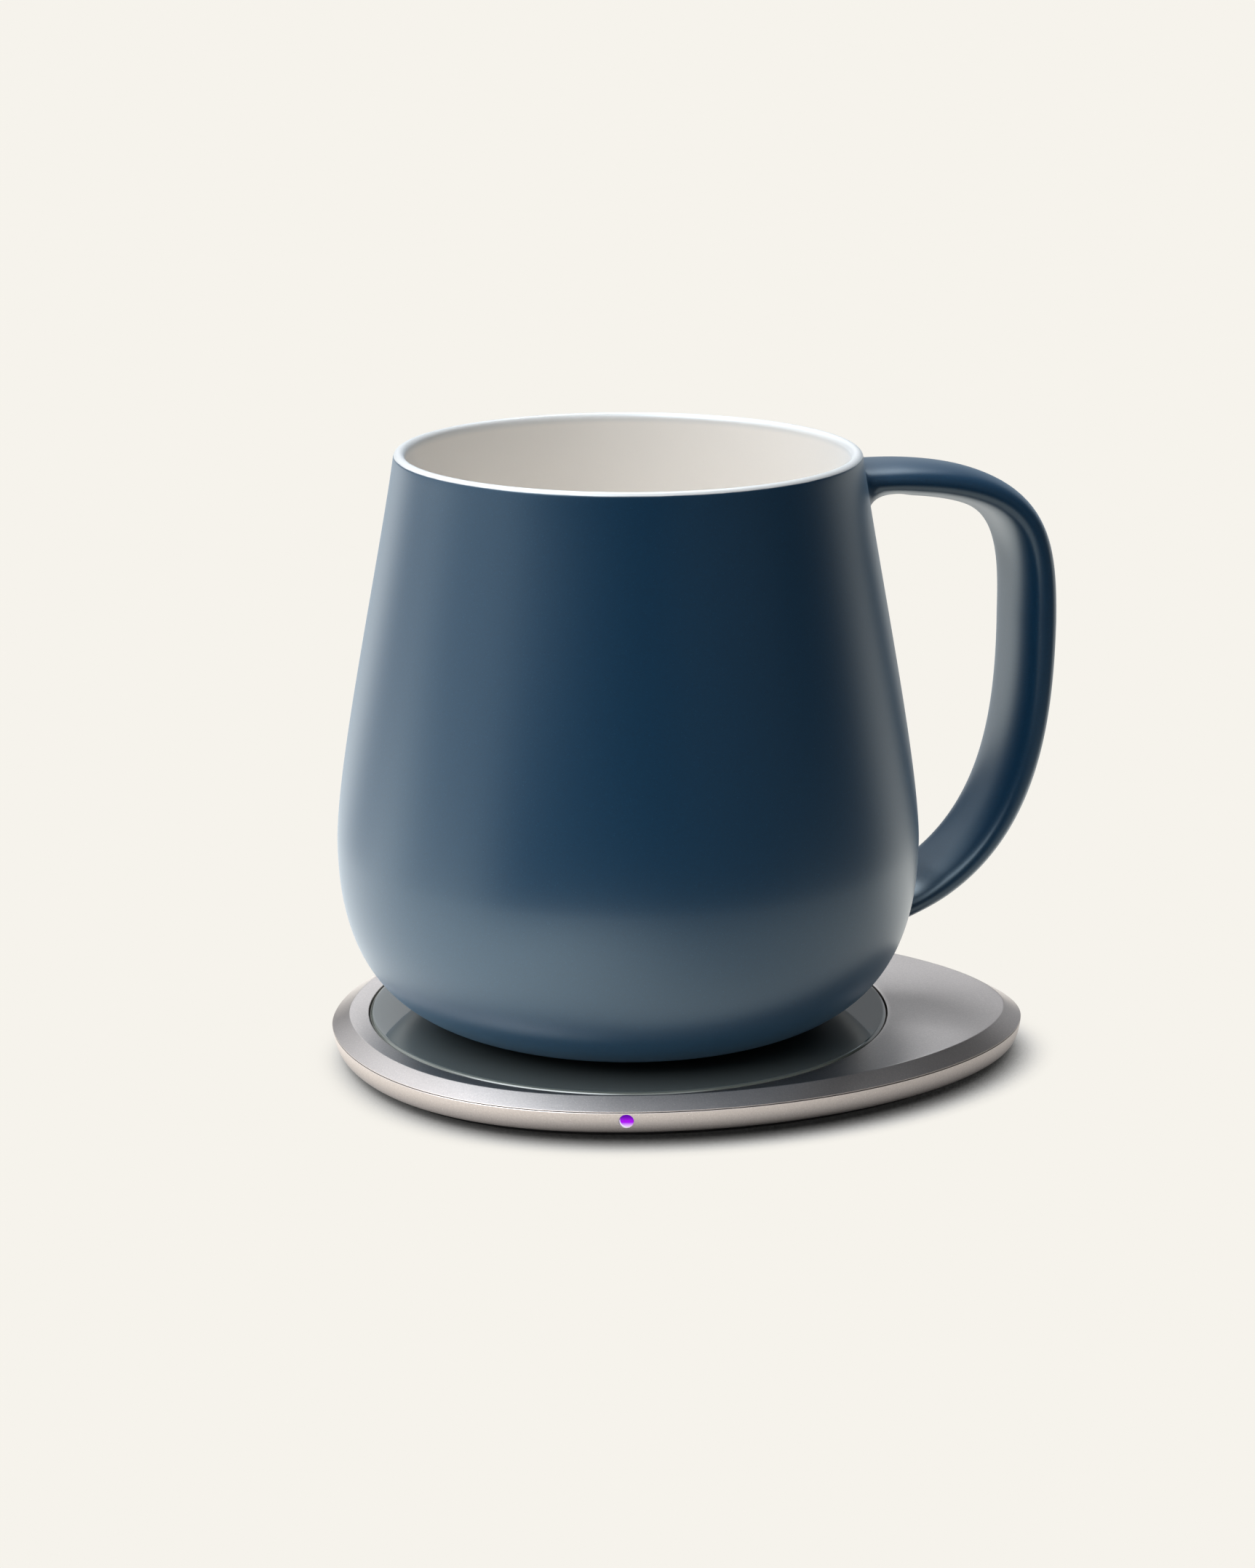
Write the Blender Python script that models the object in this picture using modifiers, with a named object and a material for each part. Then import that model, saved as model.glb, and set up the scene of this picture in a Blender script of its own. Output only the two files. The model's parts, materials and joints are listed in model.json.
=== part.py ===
"""A self heating mug: a ceramic mug that stands free on an egg-shaped induction warming pad.

The mug is one fired piece, a turned vessel with a flared strap handle, with a steel heating
disc in a recess under its floor. The pad is a thin metal case in two halves around a round
glass plate, with a flat wound coil, its ferrite and the electronics inside.
Units are metres, +Z is up, +X runs from the pad's round heel to its nose, and the origin is
on the pad's resting face under the middle of the glass plate.
"""

import math

import bmesh
import bpy
import numpy as np
from mathutils import Matrix, Vector

# Clearances and wall values that several pieces share
FIT_GAP = 0.0003
STACK_GAP = 0.0002
SEAT_GAP = 0.0002
OVERRUN = 0.0008
ROUND_STEPS = 56
SMALL_ROUND_STEPS = 16
WELD_DISTANCE = 0.000001

# Pad outline: an egg round the glass plate, widest over the middle of the plate
GLASS_RADIUS = 0.0412
SIDE_BORDER = 0.00314
HEEL_BORDER = 0.00596
NOSE_BORDER = 0.02185
HEEL_END_SHARE = 0.254
HEEL_SIDE_SHARE = 0.858
NOSE_END_SHARE = 0.461
NOSE_SIDE_SHARE = 0.547
OUTLINE_STEPS = 13

# Pad heights, from the surface that it stands on
PAD_HEIGHT = 0.0065
FOOT_THICKNESS = 0.0009
FOOT_INSET = 0.0033
FOOT_EDGE = 0.0002
CASE_FLOOR = 0.0009
CASE_WALL = 0.0018
CASE_UNDERCUT = 0.0030
CASE_INNER_EDGE = 0.0004
CASE_LEAN = math.radians(9)
CASE_ROLL_STEPS = 6
COVER_THICKNESS = 0.00115
COVER_CHAMFER_WIDTH = 0.00275
COVER_CHAMFER_DROP = 0.00161
COVER_EDGE = 0.00008
SEAM_GAP = 0.00012
COVER_LIP_WALL = 0.0008
COVER_LIP_DEPTH = 0.0007

# Glass plate and its seat in the cover
GLASS_THICKNESS = 0.0015
GLASS_PROUD = 0.0002
GLASS_EDGE = 0.0007
GLASS_FOOT_EDGE = 0.0002
GLASS_EDGE_STEPS = 4
GLASS_GAP = 0.00015
GLASS_SEAT_WIDTH = 0.0030
GLASS_SEAT_THICKNESS = 0.0009
GLASS_SEAT_WALL = 0.0008
BOND_THICKNESS = 0.00018
BOND_GAP = 0.00008

# Coil, ferrite and sheets under the glass plate
WIRE_RADIUS = 0.00035
COIL_TURNS = 12
COIL_INNER_SHARE = 0.195
COIL_OUTER_SHARE = 0.607
COIL_POINTS_A_TURN = 24
COIL_LEAST_GAP = 0.0004
LEAD_CLEARANCE = 0.00045
LEAD_SPREAD = 0.0040
LEAD_LAP = 0.0028
LEAD_POINTS = 4
LEAD_TURN_INSET = 0.0014
LEAD_TURN_SPREAD = 0.0013
FERRITE_BORDER = 0.0012
FERRITE_HOLE = 0.0030
FERRITE_THICKNESS = 0.0005
INSULATION_BORDER = 0.0023
INSULATION_HOLE = 0.0030
INSULATION_THICKNESS = 0.00018
SENSOR_RADIUS = 0.0014
SENSOR_HEIGHT = 0.0008
SENSOR_PAD_RADIUS = 0.0020

# Main board and what stands on it
BOARD_THICKNESS = 0.0008
BOARD_RISE = 0.0004
BOARD_COIL_GAP = 0.0010
SOLDER_GAP = 0.00015
CHIP_EDGE = 0.00012
CONTROL_CHIP_SIDE = 0.0050
CONTROL_CHIP_HEIGHT = 0.0009
POWER_CHIP_SIDE = 0.0040
POWER_CHIP_HEIGHT = 0.0008
DRIVER_SIDE = 0.0033
DRIVER_HEIGHT = 0.0010
DRIVER_PITCH = 0.0046
DRIVER_COUNT = 4
CAPACITOR_SIDE = 0.0040
CAPACITOR_HEIGHT = 0.0016
CAPACITOR_PITCH = 0.0050
CAPACITOR_COUNT = 3
INDUCTOR_SIDE = 0.0052
INDUCTOR_HEIGHT = 0.0018
INDUCTOR_EDGE = 0.00025
INDUCTOR_SHIFT = 0.0013
NOSE_ROW_GAP = 0.0014
NOSE_ROW_STEP_SHARE = 0.265

# Charging socket, on the far shoulder of the nose
SOCKET_STATION_SHARE = 0.54
SOCKET_WIDTH = 0.0089
SOCKET_HEIGHT = 0.0030
SOCKET_LENGTH = 0.0073
SOCKET_WALL = 0.00028
SOCKET_RECESS = 0.0004
SOCKET_GAP = 0.0001
TONGUE_WIDTH = 0.0066
TONGUE_THICKNESS = 0.0007
TONGUE_SETBACK = 0.0010
TONGUE_ROOT = 0.0018

# Indicator light in the near side of the case
INDICATOR_ANGLE = math.radians(-94.5)
INDICATOR_RADIUS = 0.00108
INDICATOR_HEIGHT = 0.00348
INDICATOR_LENS_GAP = 0.00008
INDICATOR_LENS_LENGTH = 0.0016
INDICATOR_LENS_RECESS = 0.00025
INDICATOR_DOME = 0.0002
INDICATOR_DOME_SHARE = 0.7
LED_WIDTH = 0.0016
LED_HEIGHT = 0.0008
LED_DEPTH = 0.0007
LED_STAND_OFF = 0.0002

# Case screws, from below, under the rubber foot
SCREW_RADIUS = 0.0008
SCREW_HEAD_RADIUS = 0.0014
SCREW_HEAD_DEPTH = 0.0006
SCREW_LENGTH = 0.0034
SCREW_TIP_SHARE = 0.6
SCREW_BORE_GAP = 0.00012
BOSS_RADIUS = 0.0019
BOSS_CLEARANCE = 0.0004
HEEL_SCREW_ANGLE = math.radians(150)
HEEL_SCREW_INSET = 0.0046
SHOULDER_SCREW_ANGLE = math.radians(50)
SHOULDER_SCREW_INSET = 0.0049
NOSE_SCREW_INSET_SHARE = 0.25

# Mug: outline of the turned vessel, from its foot plane
MUG_HEIGHT = 0.0896
MUG_TURN = math.radians(15.9)
MUG_WALL = 0.0032
MUG_FLOOR = 0.0060
RIM_RADIUS = 0.03606
RIM_WALL = 0.0018
RIM_LEAN = math.radians(8.3)
BELLY_RADIUS = 0.04573
BELLY_HEIGHT_SHARE = 0.3136
MUG_FOOT_RADIUS = 0.0262
MUG_FOOT_WIDTH = 0.0034
MUG_FOOT_RISE = math.radians(8.6)
INNER_FLOOR_RADIUS = 0.0200
UNDERSIDE_PULL_SHARE = 0.53
BELLY_LOWER_PULL_SHARE = 0.73
BELLY_UPPER_PULL_SHARE = 0.19
RIM_PULL_SHARE = 0.25
INNER_FLOOR_PULL_SHARE = 0.66
INNER_BELLY_PULL_SHARE = 0.86
UNDERSIDE_STEPS = 9
SIDE_STEPS = 8
INNER_STEPS = 6
LIP_STEPS = 5

# Heating disc and cover in the mug's foot
HEATER_THICKNESS = 0.0008
HEATER_COVER_THICKNESS = 0.0012
HEATER_COVER_RECESS = 0.0003

# Mug handle: a flat oval strap, swept in one upright plane
HANDLE_STAND_OFF = 0.0228
HANDLE_REACH_HEIGHT_SHARE = 0.6406
HANDLE_TOP_DROP = 0.0065
HANDLE_TOP_ROOT_INSET = 0.00036
HANDLE_ROOT_DEPTH = 0.0009
HANDLE_ROOT_CORE_SHARE = 0.4
HANDLE_TOP_PULL_SHARE = 0.954
HANDLE_OUTER_UP_PULL_SHARE = 0.673
HANDLE_OUTER_DOWN_PULL_SHARE = 0.415
HANDLE_LOW_ROOT_INSET = 0.00493
HANDLE_LOW_HEIGHT_SHARE = 0.1328
HANDLE_LOW_RISE = math.radians(13.2)
HANDLE_LOW_PULL_SHARE = 0.931
HANDLE_WIDTH = 0.0160
HANDLE_TOP_THICKNESS = 0.0050
HANDLE_GRIP_THICKNESS = 0.0066
HANDLE_LOW_THICKNESS = 0.0051
HANDLE_ROUNDNESS = 2.3
HANDLE_GRIP_SHARE = 0.45
HANDLE_FLARE_DEPTH = 0.0026
HANDLE_FLARE_WIDTH = 0.0012
HANDLE_FLARE_LENGTH = 0.0026
HANDLE_STEPS = 13
HANDLE_SIDES = 20

# Worked out from the values above
PAD_HALF_WIDTH = GLASS_RADIUS + SIDE_BORDER
PAD_HEEL_REACH = GLASS_RADIUS + HEEL_BORDER
PAD_NOSE_REACH = GLASS_RADIUS + NOSE_BORDER
COVER_UNDERSIDE = PAD_HEIGHT - COVER_THICKNESS
COVER_EDGE_BOTTOM = PAD_HEIGHT - COVER_CHAMFER_DROP - COVER_EDGE
CASE_TOP = COVER_EDGE_BOTTOM - SEAM_GAP
CASE_BOTTOM = FOOT_THICKNESS + STACK_GAP
CASE_FLOOR_TOP = CASE_BOTTOM + CASE_FLOOR
LIP_INSET = CASE_WALL + FIT_GAP
GLASS_TOP = PAD_HEIGHT + GLASS_PROUD
GLASS_BOTTOM = GLASS_TOP - GLASS_THICKNESS
SEAT_TOP = GLASS_BOTTOM - BOND_THICKNESS - 2 * BOND_GAP
SEAT_BOTTOM = SEAT_TOP - GLASS_SEAT_THICKNESS
RECESS_RADIUS = GLASS_RADIUS + GLASS_GAP
WINDOW_RADIUS = RECESS_RADIUS - GLASS_SEAT_WIDTH
COIL_INNER_RADIUS = COIL_INNER_SHARE * GLASS_RADIUS
COIL_OUTER_RADIUS = COIL_OUTER_SHARE * GLASS_RADIUS
FERRITE_RADIUS = COIL_OUTER_RADIUS + FERRITE_BORDER
FERRITE_BOTTOM = CASE_FLOOR_TOP + STACK_GAP
COIL_CENTRE = FERRITE_BOTTOM + FERRITE_THICKNESS + STACK_GAP + WIRE_RADIUS
LEAD_CENTRE = COIL_CENTRE + 2 * WIRE_RADIUS + LEAD_CLEARANCE
INSULATION_RADIUS = WINDOW_RADIUS - INSULATION_BORDER
INSULATION_TOP = GLASS_BOTTOM - BOND_GAP
BOARD_HOLE_RADIUS = FERRITE_RADIUS + BOARD_COIL_GAP
LEAD_END_RADIUS = BOARD_HOLE_RADIUS + LEAD_LAP
BOARD_BOTTOM = CASE_FLOOR_TOP + BOARD_RISE
BOARD_TOP = BOARD_BOTTOM + BOARD_THICKNESS
PART_BOTTOM = BOARD_TOP + SOLDER_GAP
NOSE_ROW_START = RECESS_RADIUS + GLASS_SEAT_WALL + NOSE_ROW_GAP + DRIVER_SIDE / 2
SOCKET_SLOT_HEIGHT = SOCKET_HEIGHT + 2 * SOCKET_GAP
SOCKET_CENTRE = COVER_EDGE_BOTTOM + COVER_EDGE - SOCKET_SLOT_HEIGHT / 2
MUG_BASE = GLASS_TOP + SEAT_GAP
HEATER_RADIUS = MUG_FOOT_RADIUS - MUG_FOOT_WIDTH
HEATER_COVER_BOTTOM = HEATER_COVER_RECESS
HEATER_BOTTOM = HEATER_COVER_BOTTOM + HEATER_COVER_THICKNESS + STACK_GAP
HEATER_RECESS_TOP = HEATER_BOTTOM + HEATER_THICKNESS + STACK_GAP
LIP_RADIUS = RIM_WALL / 2
BELLY_HEIGHT = BELLY_HEIGHT_SHARE * MUG_HEIGHT
HANDLE_REACH = BELLY_RADIUS + HANDLE_STAND_OFF
HANDLE_REACH_HEIGHT = HANDLE_REACH_HEIGHT_SHARE * MUG_HEIGHT
HANDLE_TOP_HEIGHT = MUG_HEIGHT - HANDLE_TOP_DROP
HANDLE_TOP_ROOT = RIM_RADIUS - HANDLE_TOP_ROOT_INSET
HANDLE_LOW_ROOT = BELLY_RADIUS - HANDLE_LOW_ROOT_INSET
HANDLE_LOW_HEIGHT = HANDLE_LOW_HEIGHT_SHARE * MUG_HEIGHT

PARTS = "self_heating_mug"
CUTTERS = "cutters"

# Colour, roughness and metallic value of each material
FINISHES = {
    "blue_glaze": ((0.045, 0.085, 0.140, 1), 0.55, 0.0),
    "pad_metal": ((0.42, 0.40, 0.39, 1), 0.42, 1.0),
    "plate_glass": ((0.16, 0.19, 0.17, 1), 0.06, 0.0),
    "adhesive": ((0.05, 0.05, 0.05, 1), 0.70, 0.0),
    "rubber": ((0.06, 0.06, 0.06, 1), 0.85, 0.0),
    "steel": ((0.55, 0.55, 0.56, 1), 0.30, 1.0),
    "silicone": ((0.22, 0.23, 0.24, 1), 0.75, 0.0),
    "copper_wire": ((0.72, 0.33, 0.14, 1), 0.35, 1.0),
    "ferrite": ((0.07, 0.07, 0.075, 1), 0.60, 0.0),
    "mica": ((0.62, 0.55, 0.40, 1), 0.45, 0.0),
    "circuit_board": ((0.02, 0.16, 0.08, 1), 0.40, 0.0),
    "black_moulding": ((0.03, 0.03, 0.03, 1), 0.50, 0.0),
    "ceramic_capacitor": ((0.48, 0.36, 0.22, 1), 0.45, 0.0),
    "light_lens": ((0.50, 0.05, 0.85, 1), 0.15, 0.0),
}


def clear_scene():
    """Removes what the scene holds and makes the two collections."""
    for old in list(bpy.data.objects):
        bpy.data.objects.remove(old, do_unlink=True)
    for name in (PARTS, CUTTERS):
        bpy.context.scene.collection.children.link(bpy.data.collections.new(name))


def finish(name):
    """The material of this name, made the first time it is asked for."""
    found = bpy.data.materials.get(name)
    if found:
        return found
    colour, roughness, metallic = FINISHES[name]
    made = bpy.data.materials.new(name)
    made.use_nodes = True
    made.diffuse_color = colour
    shader = made.node_tree.nodes["Principled BSDF"]
    shader.inputs["Base Color"].default_value = colour
    shader.inputs["Roughness"].default_value = roughness
    shader.inputs["Metallic"].default_value = metallic
    return made


def added(name, mesh, material=None, parent=None):
    """An object for the mesh: a part where a material is named, or else a cutter."""
    thing = bpy.data.objects.new(name, mesh)
    if material:
        mesh.materials.clear()
        mesh.materials.append(finish(material))
        bpy.data.collections[PARTS].objects.link(thing)
    else:
        thing.hide_render = True
        thing.display_type = "WIRE"
        bpy.data.collections[CUTTERS].objects.link(thing)
    thing.parent = parent
    return thing


def mesh_of(name, build):
    """A mesh filled by the function build, with its faces turned outwards."""
    shape = bmesh.new()
    build(shape)
    bmesh.ops.recalc_face_normals(shape, faces=shape.faces)
    mesh = bpy.data.meshes.new(name)
    shape.to_mesh(mesh)
    shape.free()
    return mesh


def cylinder(name, radius, low, high, material=None, steps=ROUND_STEPS, top_radius=None):
    """An upright cylinder, or a cone where the top radius differs."""

    def build(shape):
        bmesh.ops.create_cone(
            shape,
            cap_ends=True,
            segments=steps,
            radius1=radius,
            radius2=radius if top_radius is None else top_radius,
            depth=high - low,
            matrix=Matrix.Translation((0, 0, (low + high) / 2)),
        )

    return added(name, mesh_of(name, build), material)


def block(name, size, centre, material=None, edge=0, edge_steps=1):
    """A box of this size about its centre, with its edges bevelled where edge isn't zero."""

    def build(shape):
        bmesh.ops.create_cube(shape, size=1)
        bmesh.ops.scale(shape, vec=size, verts=shape.verts)
        bmesh.ops.translate(shape, vec=centre, verts=shape.verts)

    thing = added(name, mesh_of(name, build), material)
    if edge:
        bevel = thing.modifiers.new("edges", "BEVEL")
        bevel.width = edge
        bevel.segments = edge_steps
    return thing


def turned(name, profile, material=None, parent=None, steps=ROUND_STEPS, closed=False):
    """A profile of (radius, height) points, outer side running down, turned about Z."""
    mesh = bpy.data.meshes.new(name)
    corners = [(radius, 0, height) for radius, height in profile]
    edges = [(i, i + 1) for i in range(len(corners) - 1)]
    if closed:
        edges.append((len(corners) - 1, 0))
    mesh.from_pydata(corners, edges, [])
    thing = added(name, mesh, material, parent)
    screw = thing.modifiers.new("turn", "SCREW")
    screw.steps = steps
    screw.render_steps = steps
    screw.use_merge_vertices = True
    screw.merge_threshold = WELD_DISTANCE
    screw.use_smooth_shade = True
    return thing


def lofted(name, rings, material=None, parent=None):
    """A closed skin through rings of equally many points, flat at both ends."""

    def build(shape):
        loops = [[shape.verts.new(point) for point in ring] for ring in rings]
        for low, high in zip(loops, loops[1:]):
            for i in range(len(low)):
                shape.faces.new((low[i - 1], low[i], high[i], high[i - 1]))
        shape.faces.new(loops[0])
        shape.faces.new(loops[-1])

    return added(name, mesh_of(name, build), material, parent)


def combine(thing, other, operation="DIFFERENCE"):
    """Cuts the other object from the thing, or joins it to the thing."""
    modifier = thing.modifiers.new(other.name, "BOOLEAN")
    modifier.operation = operation
    modifier.object = other
    modifier.solver = "EXACT"


def smooth(thing, angle=math.radians(35)):
    """Shades a round piece smooth, with edges sharper than the angle left sharp."""
    thing.data.shade_smooth()
    thing.data.set_sharp_from_angle(angle=angle)


def bezier(start, start_pull, end_pull, end, steps):
    """Points along a cubic curve, both ends included."""
    points = []
    for i in range(steps + 1):
        t = i / steps
        s = 1 - t
        points.append(
            s**3 * np.array(start)
            + 3 * s**2 * t * np.array(start_pull)
            + 3 * s * t**2 * np.array(end_pull)
            + t**3 * np.array(end)
        )
    return points


def arc(centre, radius, first, last, steps):
    """Points round part of a circle, both ends included."""
    angles = [first + (last - first) * i / steps for i in range(steps + 1)]
    return [np.array(centre) + radius * np.array([math.cos(a), math.sin(a)]) for a in angles]


def half_outline():
    """The pad's outline from the heel's tip to the nose's tip, on the +Y side."""
    heel_end = (-PAD_HEEL_REACH, HEEL_END_SHARE * PAD_HALF_WIDTH)
    heel_side = (-HEEL_SIDE_SHARE * PAD_HEEL_REACH, PAD_HALF_WIDTH)
    nose_side = (NOSE_SIDE_SHARE * PAD_NOSE_REACH, PAD_HALF_WIDTH)
    nose_end = (PAD_NOSE_REACH, NOSE_END_SHARE * PAD_HALF_WIDTH)
    widest = (0, PAD_HALF_WIDTH)
    heel = bezier((-PAD_HEEL_REACH, 0), heel_end, heel_side, widest, OUTLINE_STEPS)
    nose = bezier(widest, nose_side, nose_end, (PAD_NOSE_REACH, 0), OUTLINE_STEPS)
    return heel[:-1] + nose


def outline_normal(points, i):
    """The outward direction at one point of the half outline."""
    if i in (0, len(points) - 1):
        return np.array([-1.0 if i == 0 else 1.0, 0])
    run = points[i + 1] - points[i - 1]
    return np.array([-run[1], run[0]]) / np.linalg.norm(run)


def pad_ring(inset, height):
    """The pad's outline moved inwards by the inset, as a ring of points at this height."""
    points = half_outline()
    far = [p - inset * outline_normal(points, i) for i, p in enumerate(points)]
    near = [p * (1, -1) for p in far[-2:0:-1]]
    return [(x, y, height) for x, y in far + near]


def pad_solid(name, levels, material=None):
    """A solid through the pad's outline at these (inset, height) levels, bottom to top."""
    return lofted(name, [pad_ring(inset, height) for inset, height in levels], material)


def outline_place(share):
    """A point of the nose's far side and its outward direction, by share of that side's steps."""
    points = half_outline()
    i = OUTLINE_STEPS + round(share * OUTLINE_STEPS)
    return points[i], outline_normal(points, i)


def outline_hit(angle):
    """Where a ray from the origin at this angle meets the pad's outline: its distance."""
    ray = np.array([math.cos(angle), abs(math.sin(angle))])
    points = half_outline()
    for start, end in zip(points, points[1:]):
        span = end - start
        det = ray[1] * span[0] - ray[0] * span[1]
        along = (ray[0] * start[1] - ray[1] * start[0]) / det if det else -1
        if 0 <= along <= 1:
            return float(np.dot(start + along * span, ray))
    return PAD_HALF_WIDTH


def screw_places():
    """The (x, y) places of the five case screws."""
    places = []
    stations = (
        (HEEL_SCREW_ANGLE, HEEL_SCREW_INSET),
        (SHOULDER_SCREW_ANGLE, SHOULDER_SCREW_INSET),
    )
    for angle, inset in stations:
        reach = outline_hit(angle) - inset
        for side in (1, -1):
            places.append((reach * math.cos(angle), side * reach * math.sin(angle)))
    return places + [(PAD_NOSE_REACH - NOSE_SCREW_INSET_SHARE * NOSE_BORDER, 0)]


def indicator_frame():
    """The matrix at the indicator: X out of the case, at the case's side and the light's height."""
    reach = outline_hit(INDICATOR_ANGLE)
    out = Vector((math.cos(INDICATOR_ANGLE), math.sin(INDICATOR_ANGLE), 0))
    turn = Matrix.Rotation(INDICATOR_ANGLE, 4, "Z")
    return Matrix.Translation(out * reach + Vector((0, 0, INDICATOR_HEIGHT))) @ turn


def socket_frame():
    """The matrix at the charging socket: X out of the case, at its side and the socket's height."""
    place, normal = outline_place(SOCKET_STATION_SHARE)
    turn = Matrix.Rotation(math.atan2(normal[1], normal[0]), 4, "Z")
    return Matrix.Translation((place[0], place[1], SOCKET_CENTRE)) @ turn


def stadium(name, width, height, start, end, frame, material=None, wall=0, sides=6):
    """A slot-shaped bar along the frame's X, or a tube of this wall where wall isn't zero."""

    def ring(shrink):
        radius = height / 2 - shrink
        half = width / 2 - height / 2
        right = arc((half, 0), radius, -math.pi / 2, math.pi / 2, sides)
        left = arc((-half, 0), radius, math.pi / 2, 3 * math.pi / 2, sides)
        return right + left

    outline = bpy.data.curves.new(name, "CURVE")
    outline.dimensions = "2D"
    outline.fill_mode = "BOTH"
    outline.extrude = (end - start) / 2
    for shrink in (0, wall) if wall else (0,):
        spline = outline.splines.new("POLY")
        points = ring(shrink)
        spline.points.add(len(points) - 1)
        for target, (x, y) in zip(spline.points, points):
            target.co = (x, y, 0, 1)
        spline.use_cyclic_u = True
    guide = bpy.data.objects.new(name, outline)
    bpy.data.collections[CUTTERS].objects.link(guide)
    bpy.context.view_layer.update()
    graph = bpy.context.evaluated_depsgraph_get()
    mesh = bpy.data.meshes.new_from_object(guide.evaluated_get(graph))
    bpy.data.objects.remove(guide)
    bpy.data.curves.remove(outline)
    shape = bmesh.new()
    shape.from_mesh(mesh)
    bmesh.ops.remove_doubles(shape, verts=shape.verts, dist=WELD_DISTANCE)
    # The curve lies in its own XY plane, so its width goes to Y, its height to Z and Z to X
    lie = Matrix(((0, 0, 1, (start + end) / 2), (1, 0, 0, 0), (0, 1, 0, 0), (0, 0, 0, 1)))
    bmesh.ops.transform(shape, matrix=frame @ lie, verts=shape.verts)
    bmesh.ops.recalc_face_normals(shape, faces=shape.faces)
    shape.to_mesh(mesh)
    shape.free()
    return added(name, mesh, material)


def bored_along(name, radius, start, end, frame, material=None, dome=0, steps=SMALL_ROUND_STEPS):
    """A round bar along the frame's X, with a slightly domed outer end where dome isn't zero."""
    ends = [(start, radius), (end - dome, radius)]
    if dome:
        ends.append((end, radius * INDICATOR_DOME_SHARE))
    rings = []
    for along, size in ends:
        turns = [2 * math.pi * i / steps for i in range(steps)]
        ring = [Vector((along, size * math.cos(a), size * math.sin(a))) for a in turns]
        rings.append([frame @ point for point in ring])
    return lofted(name, rings, material)


def foot():
    """The rubber foot that the pad stands on: one egg-shaped mat."""
    levels = [
        (FOOT_INSET + FOOT_EDGE, 0),
        (FOOT_INSET, FOOT_EDGE),
        (FOOT_INSET, FOOT_THICKNESS),
    ]
    pad_solid("non_slip_foot", levels, "rubber")


def lower_case():
    """The tray: a floor that rolls up into the leaning side, with holes for light, plug and screws."""
    height = CASE_TOP - CASE_BOTTOM
    top_pull = (height / 2 * math.tan(CASE_LEAN), CASE_TOP - height / 2)
    low_pull = (CASE_UNDERCUT / 2, CASE_BOTTOM)
    side = bezier((CASE_UNDERCUT, CASE_BOTTOM), low_pull, top_pull, (0, CASE_TOP), CASE_ROLL_STEPS)
    case = pad_solid("pad_lower_case", side, "pad_metal")
    hollow = [
        (CASE_WALL + CASE_INNER_EDGE, CASE_FLOOR_TOP),
        (CASE_WALL, CASE_FLOOR_TOP + CASE_INNER_EDGE),
        (CASE_WALL, CASE_TOP + OVERRUN),
    ]
    combine(case, pad_solid("lower_case_hollow", hollow))
    combine(case, bpy.data.objects["indicator_bore"])
    combine(case, bpy.data.objects["socket_slot"])
    shank = SCREW_RADIUS + SCREW_BORE_GAP
    head = SCREW_HEAD_RADIUS + SCREW_BORE_GAP
    slope = (head - shank) / SCREW_HEAD_DEPTH
    for i, (x, y) in enumerate(screw_places(), 1):
        hole = cylinder(
            f"case_screw_hole_{i}",
            shank,
            CASE_BOTTOM - OVERRUN,
            CASE_FLOOR_TOP + OVERRUN,
            steps=SMALL_ROUND_STEPS,
        )
        sink = cylinder(
            f"case_screw_sink_{i}",
            head + slope * OVERRUN,
            CASE_BOTTOM - OVERRUN,
            CASE_BOTTOM + SCREW_HEAD_DEPTH,
            steps=SMALL_ROUND_STEPS,
            top_radius=shank,
        )
        for cutter in (hole, sink):
            cutter.location = (x, y, 0)
            combine(case, cutter)
    smooth(case)


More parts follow.
